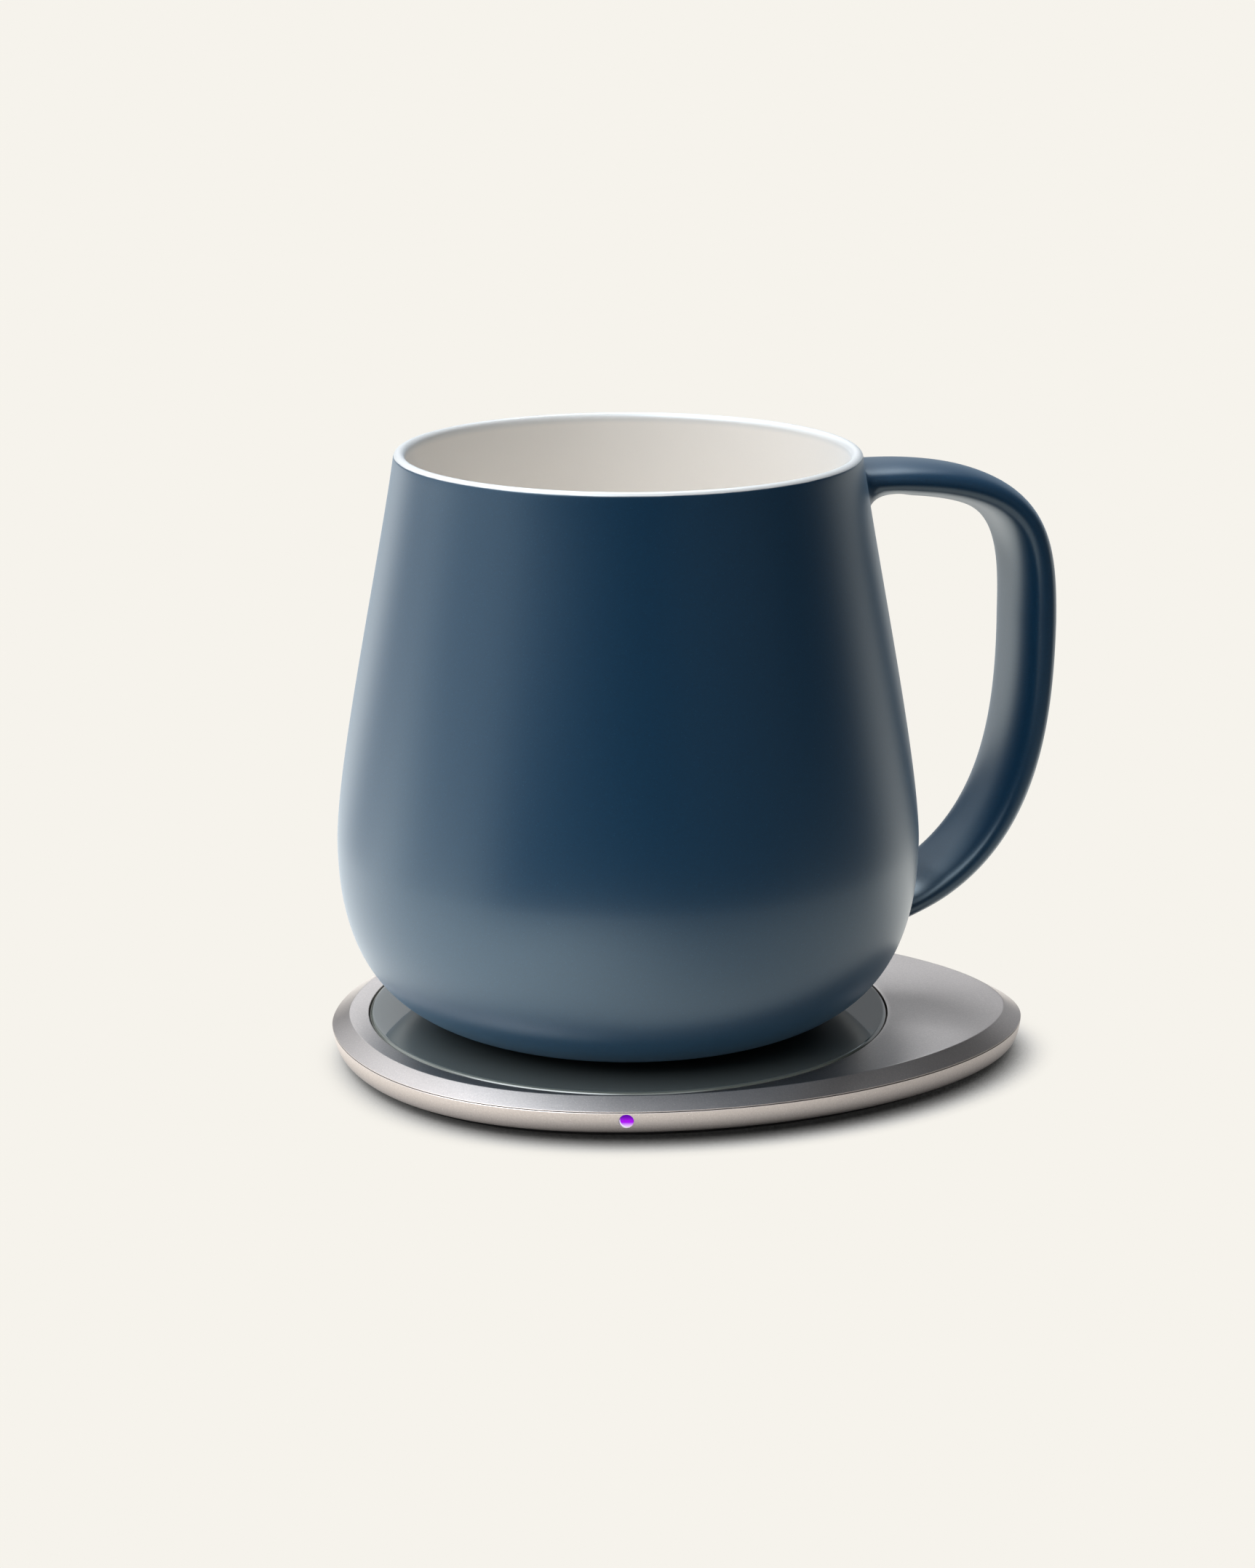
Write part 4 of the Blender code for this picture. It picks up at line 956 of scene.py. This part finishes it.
    def handle(self) -> Mesh:
        """The strap with its filleted roots, as a closed mesh about the mug's own axis."""
        path = self.path()
        sections = [self.section(path, i) for i in range(len(path))]
        finger = (1 - np.cos(point_ring(self.sides))) / 2
        ends, roots = [], (self.root_ring, len(path) - 1 - self.root_ring)
        for near, step, fillet in zip(roots, (1, -1), self.fillet_inner):
            run = path[near - step] - path[near + step]
            direction = np.array([run[0], 0, run[1]]) / np.linalg.norm(run)
            ends.append(self.root(sections[near], direction, finger**2, fillet))
        middle = []
        for i, section in enumerate(sections):
            clear = self.fillet_inner[0 if i < len(path) // 2 else 1] + self.fillet_clear
            if np.min(self.clearance(section)) > clear:
                middle.append(section)
        first = self.blended(*ends[0][:2], middle[0], middle[1])
        last = self.blended(*ends[1][:2], middle[-1], middle[-2])
        rings = ends[0][::-1] + first + middle + last[::-1] + ends[1]
        return skin("handle", [ring * MM for ring in rings])

    def blended(
        self, root: Rows, root_next: Rows, strap: Rows, strap_next: Rows
    ) -> list[Rows]:
        """Rings that carry a root's first ring smoothly over to the strap.

        Args:
            root: The root's first ring.
            root_next: The ring after it, towards the wall.
            strap: The strap's nearest ring.
            strap_next: The ring after it, away from the wall.

        Returns:
            The rings between the two, from the root to the strap.
        """
        third = np.linalg.norm(strap - root, axis=1)[:, None] / 3
        leave = root + unit(root - root_next) * third
        arrive = strap + unit(strap - strap_next) * third
        shares = np.linspace(0, 1, self.blend_steps + 2)[1:-1]
        return [cubic(t, root, leave, arrive, strap) for t in shares]

    def placed(self, mesh: Mesh) -> Mesh:
        """Turns and lifts a mesh from the mug's own axis to its place on the pad."""
        turn = Matrix.Rotation(math.radians(self.turn), 4, "Z")
        mesh.transform(Matrix.Translation((0, 0, self.base * MM)) @ turn)
        return mesh

    def build(self, glaze: Material) -> Object:
        """Makes the mug and lets it stand for its CAD node.

        Args:
            glaze: The glaze material.

        Returns:
            The mug.
        """
        points, line = self.profile()
        body = turned("mug_body_turned", points * MM, glaze, 256, line * MM)
        handle = self.handle()
        # The whole handle lies well past the line, on the blue side
        marked(handle, np.full(len(handle.vertices), 10 * MM))
        shape = bmesh.new()
        shape.from_mesh(body)
        shape.from_mesh(handle)
        made = piece("mug", self.placed(shaded(written(shape, body), 50)), glaze)
        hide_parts("mug_body")
        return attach(made, Body.MUG.value)


@dataclass
class WarmingPad:
    """The pad's case in two halves, its glass plate, and the lens of its light.

    Sizes are in millimetres from the table, as in the CAD source.
    """

    heel: float = 47.16
    nose: float = 63.05
    half_width: float = 44.34
    shares: tuple[float, float, float, float] = (0.254, 0.858, 0.461, 0.547)
    height: float = 6.5
    chamfer_width: float = 2.75
    chamfer_drop: float = 1.61
    chamfer_shares: tuple[float, ...] = (0.035, 0.1, 0.35, 0.65, 0.9, 0.955)
    flat_shares: tuple[float, ...] = (0.03, 0.3, 0.7, 0.97, 1.0)
    edge: float = 0.08
    seam: float = 0.15
    crease: float = 0.10
    edge_round: float = 0.05
    soft: float = 0.01
    cover_thickness: float = 1.15
    lip_gap: float = 0.3
    lip_wall: float = 0.4
    lip_drop: float = 0.7
    case_wall: float = 1.8
    case_bottom: float = 1.1
    case_floor: float = 0.9
    case_corner: float = 0.4
    case_undercut: float = 1.9
    case_fullness: float = 0.28
    case_lean: float = 9.0
    recess_radius: float = 41.35
    recess_round: float = 0.05
    window_radius: float = 38.35
    seat_top: float = 4.86
    seat_bottom: float = 3.96
    seat_wall: float = 0.3
    glass_radius: float = 41.2
    glass_top: float = 6.7
    glass_thickness: float = 1.5
    glass_edge: float = 0.7
    glass_foot: float = 0.2
    lens_angle: float = -94.5
    lens_height: float = 3.34
    lens_radius: float = 1.08
    lens_length: float = 1.6
    lens_face: float = 0.442
    lens_dome: float = 0.2
    lens_flat: float = 0.3
    lens_turn: float = 80.0
    bore_radius: float = 1.15
    bore_ends: Pair = (-1.85, 2.0)
    socket_width: float = 8.94
    socket_gap: float = 0.1
    socket_ends: Pair = (-3.8, 8.0)
    points: int = 288
    outline: Rows = field(init=False)
    normals: Rows = field(init=False)

    def __post_init__(self) -> None:
        """Works out the egg outline and its outward normals, evenly spaced."""
        heel_end, heel_side, nose_end, nose_side = self.shares
        width = self.half_width
        heel, nose = (
            bezier((end, 0), (end, blunt * width), (full * end, width), (0, width), 400)
            for end, blunt, full in (
                (-self.heel, heel_end, heel_side),
                (self.nose, nose_end, nose_side),
            )
        )
        far = np.vstack([heel, nose[::-1][1:]])
        near = far[::-1][1:] * (1, -1)
        self.outline = spaced(np.vstack([far, near]), self.points + 1)[:-1]
        run = np.roll(self.outline, -1, axis=0) - np.roll(self.outline, 1, axis=0)
        self.normals = unit(np.column_stack([-run[:, 1], run[:, 0]]))

    def eggs(self, *spots: Pair) -> list[Rows]:
        """The outline moved in by each inset, at its height, in metres."""
        return [level(self.outline - inset * self.normals, height) for inset, height in spots]

    def circles(self, *spots: Pair) -> list[Rows]:
        """Circles with a point for each of the outline's, by radius and height, in metres."""
        return [level(unit(self.outline) * radius, height) for radius, height in spots]

    def cover(self) -> Mesh:
        """The chamfered cover with its softened edges, glass seat and locating lip."""
        top, width, drop = self.height, self.chamfer_width, self.chamfer_drop
        slope, side = math.atan2(drop, width), top - drop
        low, edge, upright = side - self.edge, self.edge_round, math.pi / 2 - slope
        rings = self.eggs((self.case_wall, low), (self.soft, low), (0.0, low + self.soft))
        # The side turns into the chamfer over a tiny round
        start = side - edge * math.tan(upright / 2)
        for angle in np.linspace(0, upright, 5):
            rings += self.eggs((edge * (1 - math.cos(angle)), start + edge * math.sin(angle)))
        for share in self.chamfer_shares:
            rings += self.eggs((share * width, side + share * drop))
        # The chamfer turns into the flat top over a short round
        radius = self.crease / math.tan(slope / 2)
        for angle in np.linspace(slope, 0, 6):
            inset = width + self.crease - radius * math.sin(angle)
            rings += self.eggs((inset, top - radius * (1 - math.cos(angle))))
        recess, soft = self.recess_radius, self.recess_round
        outer, inner = rings[-1], self.circles((recess + soft, top))[0]
        rings += [outer + share * (inner - outer) for share in self.flat_shares]
        under, skirt = top - self.cover_thickness, recess + self.seat_wall
        rings += self.circles(
            (recess + 0.3 * soft, top - 0.3 * soft),
            (recess, top - soft),
            (recess, self.seat_top),
            (self.window_radius, self.seat_top),
            (self.window_radius, self.seat_bottom),
            (skirt, self.seat_bottom),
            (skirt, under),
        )
        lip, lip_low = self.case_wall + self.lip_gap, low - self.lip_drop
        rings += self.eggs(
            (lip + self.lip_wall, under),
            (lip + self.lip_wall, lip_low),
            (lip, lip_low),
            (lip, under),
            (self.case_wall, under),
        )
        return skin("cover", rings, closed=True)

    def lens_frame(self) -> Matrix:
        """The matrix at the light's bore: X out of the case, at its side."""
        ray = aim(self.lens_angle)
        along = self.outline @ ray[:2]
        off = np.abs(self.outline @ np.array([-ray[1], ray[0]]))
        reach = along[np.argmin(np.where(along > 0, off, np.inf))]
        place = Vector((ray[0] * reach, ray[1] * reach, self.lens_height)) * MM
        return Matrix.Translation(place) @ Matrix.Rotation(math.radians(self.lens_angle), 4, "Z")

    def rod(self, name: str, stations: list[Pair], steps: int) -> Mesh:
        """A round bar along the light's bore.

        Args:
            name: The mesh's name.
            stations: Pairs of distance along X and radius, in millimetres.
            steps: How many steps round.

        Returns:
            The mesh in the model's frame.
        """
        turn = point_ring(steps)
        wheel = np.column_stack([np.zeros(steps), np.cos(turn), np.sin(turn)])
        mesh = skin(name, [(wheel * radius + (along, 0, 0)) * MM for along, radius in stations])
        mesh.transform(self.lens_frame())
        return mesh

    def socket_cut(self) -> Object:
        """The cutter for the charging socket's slot, taken from the socket shell's own box."""
        low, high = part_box("socket_shell")
        middle = (low + high) / 2
        nearest = int(np.argmin(np.linalg.norm(self.outline * MM - np.array(middle[:2]), axis=1)))
        normal, gap = self.normals[nearest], self.socket_gap * MM
        turn = Matrix.Rotation(math.atan2(normal[1], normal[0]), 4, "Z")
        radius = (high.z - low.z) / 2 + gap
        half, right = self.socket_width / 2 * MM + gap - radius, math.pi / 2
        ring = np.vstack([
            arc((half, 0), radius, -right, right, 16),
            arc((-half, 0), radius, right, 3 * right, 16),
        ])
        rings = [np.column_stack([np.full(len(ring), x * MM), ring]) for x in self.socket_ends]
        mesh = skin("socket_cut", rings)
        mesh.transform(Matrix.Translation(middle) @ turn)
        return linked("socket_cut", mesh)

    def tray(self) -> Mesh:
        """The lower case: its side leans in and rolls under, with a softened top edge."""
        top = self.height - self.chamfer_drop - self.edge - self.seam
        bottom, under, wall = self.case_bottom, self.case_undercut, self.case_wall
        half, floor = (top - bottom) / 2, bottom + self.case_floor
        lean = half * math.tan(math.radians(self.case_lean))
        low, high = (under * self.case_fullness, bottom), (lean, top - half)
        side = bezier((under, bottom), low, high, (0, top), 28)
        rings = self.eggs(
            *side[:-1],
            (self.soft, top - self.edge_round),
            (self.soft + self.edge_round, top),
            (wall, top),
            (wall, floor + self.case_corner),
            (wall + self.case_corner, floor),
        )
        return skin("tray", rings)

    def cut(self, body: Object, cutter: Object) -> None:
        """Cuts one object from another, as a live modifier until the body is baked.

        Args:
            body: The object to cut.
            cutter: The cutter, which stays in the scene.
        """
        modifier = body.modifiers.new(cutter.name, "BOOLEAN")
        modifier.object = cutter
        modifier.solver = "EXACT"

    def build_case(self, metal: Material) -> None:
        """Makes the two halves of the case.

        Args:
            metal: The case's material.
        """
        stations = [(along, self.bore_radius) for along in self.bore_ends]
        bore = linked("bore", self.rod("bore", stations, 64))
        slot = self.socket_cut()
        for name, mesh, cutters, node in (
            ("pad_cover", self.cover(), [slot], "pad_top_cover"),
            ("pad_tray", self.tray(), [bore, slot], "pad_lower_case"),
        ):
            rough = piece(name + "_rough", mesh, metal)
            for cutter in cutters:
                self.cut(rough, cutter)
            made = piece(name, shaded(tidied(baked(rough)), 32), metal)
            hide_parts(node)
            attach(made, Body.PAD.value)
            log.info("%s: %d faces", name, len(made.data.polygons))
        for cutter in (bore, slot):
            bpy.data.objects.remove(cutter, do_unlink=True)

    def build_plate(self, glass: Material) -> Object:
        """Makes the glass plate with its rounded edge.

        Args:
            glass: The plate's material.

        Returns:
            The plate.
        """
        edge, foot, low = self.glass_edge, self.glass_foot, self.glass_top - self.glass_thickness
        radius, top = self.glass_radius, self.glass_top
        profile = np.vstack([
            [[0.0, top], [radius / 2, top], [radius - edge - 1, top]],
            arc((radius - edge, top - edge), edge, math.pi / 2, 0, 20),
            arc((radius - foot, low + foot), foot, 0, -math.pi / 2, 8),
            [[0.0, low]],
        ])
        mesh = shaded(turned("plate", profile * MM, glass, 320), 50)
        made = piece("glass_plate_polished", mesh, glass)
        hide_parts("glass_plate")
        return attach(made, Body.PAD.value)

    def build_lens(self, lit: Material) -> Object:
        """Makes the light's domed lens.

        Args:
            lit: The lit material.

        Returns:
            The lens.
        """
        radius, flat = self.lens_radius, self.lens_flat
        start = -self.lens_face - self.lens_dome
        stations = [(-self.lens_face - self.lens_length, radius), (start, radius)]
        for angle in np.linspace(0.1, 1, 8) * math.radians(self.lens_turn):
            wide = flat + (1 - flat) * math.cos(angle)
            stations.append((start + self.lens_dome * math.sin(angle), radius * wide))
        made = piece("indicator_lens_domed", shaded(self.rod("lens", stations, 48), 50), lit)
        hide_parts("indicator_lens")
        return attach(made, Body.PAD.value)


@dataclass(frozen=True)
class Glow:
    """One broad round light of the studio, far away, or one shining side of the table.

    Attributes:
        bearing: Where it stands as the camera sees it, in degrees: 0 right, 90 behind the mug.
        rise: Its height above the floor, in degrees.
        spread: The angle from its middle to its soft edge, in degrees.
        power: Its brightness.
    """

    bearing: float
    rise: float
    spread: float
    power: float


@dataclass
class Studio:
    """The floor, the soft light and the camera at the photograph's place.

    The camera's bearing and distances are from the mug's axis, in millimetres and degrees.
    The object sees the floor as a lit patch of table, with its sides' brightness in the
    fields from floor_left on. Each zone runs from where it starts to where it is full.
    """

    bearing: float = -94.15
    distance: float = 566.04
    camera_height: float = 196.0
    tilt: float = 15.09
    focal: float = 5127.0
    long_side: float = 2156.0
    shift: float = -0.9
    floor_size: float = 12.0
    floor_colour: Colour = (0.9216, 0.8963, 0.8388)
    shade_colour: Colour = (0.9216, 0.9120, 0.8900)
    shade_zone: Pair = (0.62, 0.98)
    room_colour: Colour = (0.95, 1.0, 1.045)
    contact: float = 8.0
    contact_bearing: float = 116.0
    contact_rise: float = 40.0
    contact_clear: float = 0.88
    grain_scale: float = 40.0
    grain_spread: float = 0.004
    floor_left: float = 2.12
    floor_right: float = 0.82
    floor_back: float = 1.0
    floor_near: float = 0.42
    pool_zone: Pair = (210.0, 130.0)
    side_zone: Pair = (-60.0, 60.0)
    back_zone: Pair = (0.0, 60.0)
    near_zone: Pair = (64.0, 46.0)
    table_edges: Pair = (1.3, 0.5)
    box_edges: Pair = (1.25, 0.75)
    boxes: tuple[Glow, ...] = (
        Glow(190, 10, 30, 0.46),
        Glow(215, 25, 28, 0.20),
        Glow(160, 30, 25, 0.74),
        Glow(180, 65, 22, 1.52),
        Glow(135, 58, 22, 0.20),
        Glow(110, 35, 22, 0.42),
        Glow(140, 22, 20, 0.19),
        Glow(92, 4, 12, 0.48),
        Glow(92, 20, 13, 0.24),
        Glow(95, 55, 18, 3.98),
        Glow(60, 12, 18, 0.38),
        Glow(0, 50, 25, 0.08),
        Glow(-45, 20, 28, 0.12),
        Glow(-90, 62, 25, 1.03),
        Glow(-140, 50, 25, 3.70),
    )
    table: tuple[Glow, ...] = (
        Glow(110, 0, 30, 1.00),
        Glow(150, 0, 30, 1.15),
        Glow(190, 0, 30, 1.30),
        Glow(0, 0, 30, 0.08),
        Glow(50, 0, 30, 0.90),
    )

    def way(self, bearing: float, rise: float = 0.0) -> Rows:
        """The way to this bearing and rise, both as in Glow, in the model's frame."""
        return aim(bearing + self.bearing + 90, rise)

    def camera(self) -> None:
        """Places the camera."""
        lens = bpy.data.cameras.new("camera")
        lens.sensor_width = 36
        lens.lens = self.focal / self.long_side * lens.sensor_width
        lens.shift_x = self.shift / self.long_side
        lens.clip_start, lens.clip_end = 0.01, 100
        stand = linked("camera", lens)
        stand.location = (aim(self.bearing) * self.distance + (0, 0, self.camera_height)) * MM
        turn = math.radians(self.bearing + 90)
        stand.rotation_euler = (math.radians(90 - self.tilt), 0, turn)
        bpy.context.scene.camera = stand

    def glowing(
        self, tree: Tree, ahead: NodeSocket, glows: tuple[Glow, ...], edges: Pair
    ) -> NodeSocket:
        """The light that comes from one direction.

        Args:
            tree: The tree that the nodes go into.
            ahead: The direction.
            glows: The glows to add up.
            edges: Where a glow ends and where it is full, as shares of its spread.

        Returns:
            The summed brightness.
        """
        total = 0.0
        for glow in glows:
            facing = tree.vector("DOT_PRODUCT", ahead, self.way(glow.bearing, glow.rise))
            ends = (math.cos(math.radians(glow.spread * share)) for share in edges)
            total = tree.maths("MULTIPLY_ADD", tree.ramp(facing, *ends), glow.power, total)
        return total

    def table_light(self, tree: Tree, where: NodeSocket, open_share: NodeSocket) -> NodeSocket:
        """How brightly the object sees the table.

        Args:
            tree: The floor's tree.
            where: The place on the floor.
            open_share: How open the floor is there.

        Returns:
            The brightness: a lit patch round the object and the table's glows further out.
        """
        away = tree.vector("LENGTH", where)
        right = tree.zone(tree.vector("DOT_PRODUCT", where, self.way(0)), self.side_zone)
        depth = tree.zone(tree.vector("DOT_PRODUCT", where, self.way(90)), self.back_zone)
        patch = tree.between(right, self.floor_left, self.floor_right)
        behind = tree.maths("MULTIPLY", right, depth)
        patch = tree.maths("MULTIPLY_ADD", behind, self.floor_back, patch)
        left = tree.ramp(right, 1.0, 0.0)
        close = tree.maths("MULTIPLY", left, tree.zone(away, self.near_zone))
        dimmed = tree.maths("MULTIPLY_ADD", close, -self.floor_near, 1.0)
        patch = tree.maths("MULTIPLY", tree.maths("MULTIPLY", patch, dimmed), open_share)
        far = self.glowing(tree, tree.vector("NORMALIZE", where), self.table, self.table_edges)
        return tree.between(tree.zone(away, self.pool_zone), far, patch)

    def floor_finish(self) -> Material:
        """The floor's material: even and pale, darker only where something nearly touches it.

        Returns:
            The material.
        """
        made, tree, shader = new_material("studio_floor")
        where = tree.here()
        # Openness is felt towards the key light, so the contact shadow falls away from it
        way = self.way(self.contact_bearing, self.contact_rise)
        normal = tree.add("ShaderNodeCombineXYZ", dict(enumerate(way))).outputs[0]
        inputs = {"Distance": self.contact * MM, "Normal": normal}
        near = tree.add("ShaderNodeAmbientOcclusion", inputs, samples=12).outputs["AO"]
        inputs = {0: near, 1: (1 - way[2]) / 2, 2: 1.0}
        open_share = tree.add("ShaderNodeMapRange", inputs).outputs[0]
        contact = tree.ramp(open_share, 0.0, self.contact_clear)
        grain, spread = tree.noise(where, self.grain_scale), self.grain_spread
        even = tree.maths("MULTIPLY_ADD", grain, spread, 1 - spread / 2)
        seen = tree.maths("MULTIPLY", contact, even)
        given = self.table_light(tree, where, open_share)
        camera = tree.add("ShaderNodeLightPath").outputs["Is Camera Ray"]
        clear = tree.ramp(contact, *self.shade_zone)
        inputs = {
            "Base Color": (0.0, 0.0, 0.0),
            "Roughness": 1.0,
            "Specular IOR Level": 0.0,
            "Emission Color": tree.mixed(clear, self.shade_colour, self.floor_colour),
            "Emission Strength": tree.between(camera, given, seen),
        }
        tree.fill(shader, inputs)
        return made

    def floor(self) -> None:
        """Lays the pale floor."""
        shape = bmesh.new()
        bmesh.ops.create_grid(shape, x_segments=8, y_segments=8, size=self.floor_size)
        mesh = written(shape, bpy.data.meshes.new("studio_floor"))
        piece("studio_floor", mesh, self.floor_finish())

    def light(self) -> None:
        """Sets the soft boxes into the dark room round the mug."""
        world = bpy.data.worlds.new("studio")
        world.use_nodes = True
        tree = Tree(world.node_tree)
        ahead = tree.add("ShaderNodeTexCoord").outputs["Generated"]
        total = self.glowing(tree, ahead, self.boxes, self.box_edges)
        camera = tree.add("ShaderNodeLightPath").outputs["Is Camera Ray"]
        room = tree.mixed(camera, self.room_colour, self.floor_colour)
        strength = tree.between(camera, total, 1.0)
        tree.fill(world.node_tree.nodes["Background"], {"Color": room, "Strength": strength})
        bpy.context.scene.world = world
        bpy.context.scene.view_settings.view_transform = "Standard"

    def build(self) -> None:
        """Makes the whole studio."""
        self.camera()
        self.floor()
        self.light()


@dataclass
class CarriedNodes:
    """The CAD nodes that keep their own shape and only get a finish."""

    finishes: tuple[Finish, ...] = (
        Finish("adhesive", (0.02, 0.02, 0.02), 0.7, grain=900, spread=0.2),
        Finish("rubber", (0.025, 0.025, 0.026), 0.8, grain=1800, spread=0.25, relief=0.03),
        Finish("steel", (0.55, 0.55, 0.56), 0.3, 1.0, grain=2400, spread=0.1, relief=0.004),
        Finish("silicone", (0.22, 0.23, 0.24), 0.6, grain=1400, spread=0.12),
        Finish("copper_wire", (0.72, 0.33, 0.14), 0.3, 1.0, grain=2600, spread=0.15),
        Finish("ferrite", (0.05, 0.05, 0.055), 0.65, grain=2200, spread=0.3, relief=0.02),
        Finish("mica", (0.55, 0.47, 0.33), 0.4, grain=350, spread=0.35),
        Finish("circuit_board", (0.02, 0.16, 0.07), 0.35, grain=700, spread=0.2),
        Finish("black_moulding", (0.02, 0.02, 0.02), 0.5, grain=2500, spread=0.2),
        Finish("ceramic_capacitor", (0.42, 0.30, 0.17), 0.4, grain=1600, spread=0.15),
    )

    def build(self, frame: dict) -> None:
        """Dresses each node that is still shown with its slot's finish.
        """
        made = {finish.name: finish.build() for finish in self.finishes}
        slots = {s["node"]: s["material_slot"] for s in frame["record"]["subparts"]}
        for name, node in frame["nodes"].items():
            if node.hide_render:
                continue
            node.data.materials.clear()
            node.data.materials.append(made[slots[name]])
            log.info("%s: %s", name, slots[name])


def main() -> None:
    """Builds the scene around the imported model."""
    logging.basicConfig(level=logging.INFO, format="%(message)s")
    for old in list(bpy.data.objects):
        bpy.data.objects.remove(old, do_unlink=True)
    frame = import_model()
    pad = WarmingPad()
    vessel = Vessel()
    blue, silver, grey = (0.001, 0.027, 0.066), (0.685, 0.628, 0.604), (0.098, 0.110, 0.107)
    glaze = SpeckledGlaze("blue_glaze", blue, 0.34, grain=3200, spread=0.3, relief=0.002)
    metal = SparklingMetal("pad_metal", silver, 0.34, 1.0, grain=3600, spread=0.16, relief=0.009)
    glass = PlateGlass("plate_glass", grey, 0.05, grain=300, spread=0.05, relief=0.0)
    middle = tuple(pad.lens_frame().translation)
    lens = LitLens("light_lens", (0.02, 0.0, 0.05), 0.2, middle=middle, relief=0.0)
    vessel.build(glaze.build())
    pad.build_case(metal.build())
    pad.build_plate(glass.build())
    pad.build_lens(lens.build())
    CarriedNodes().build(frame)
    Studio().build()


if __name__ == "__main__":
    main()
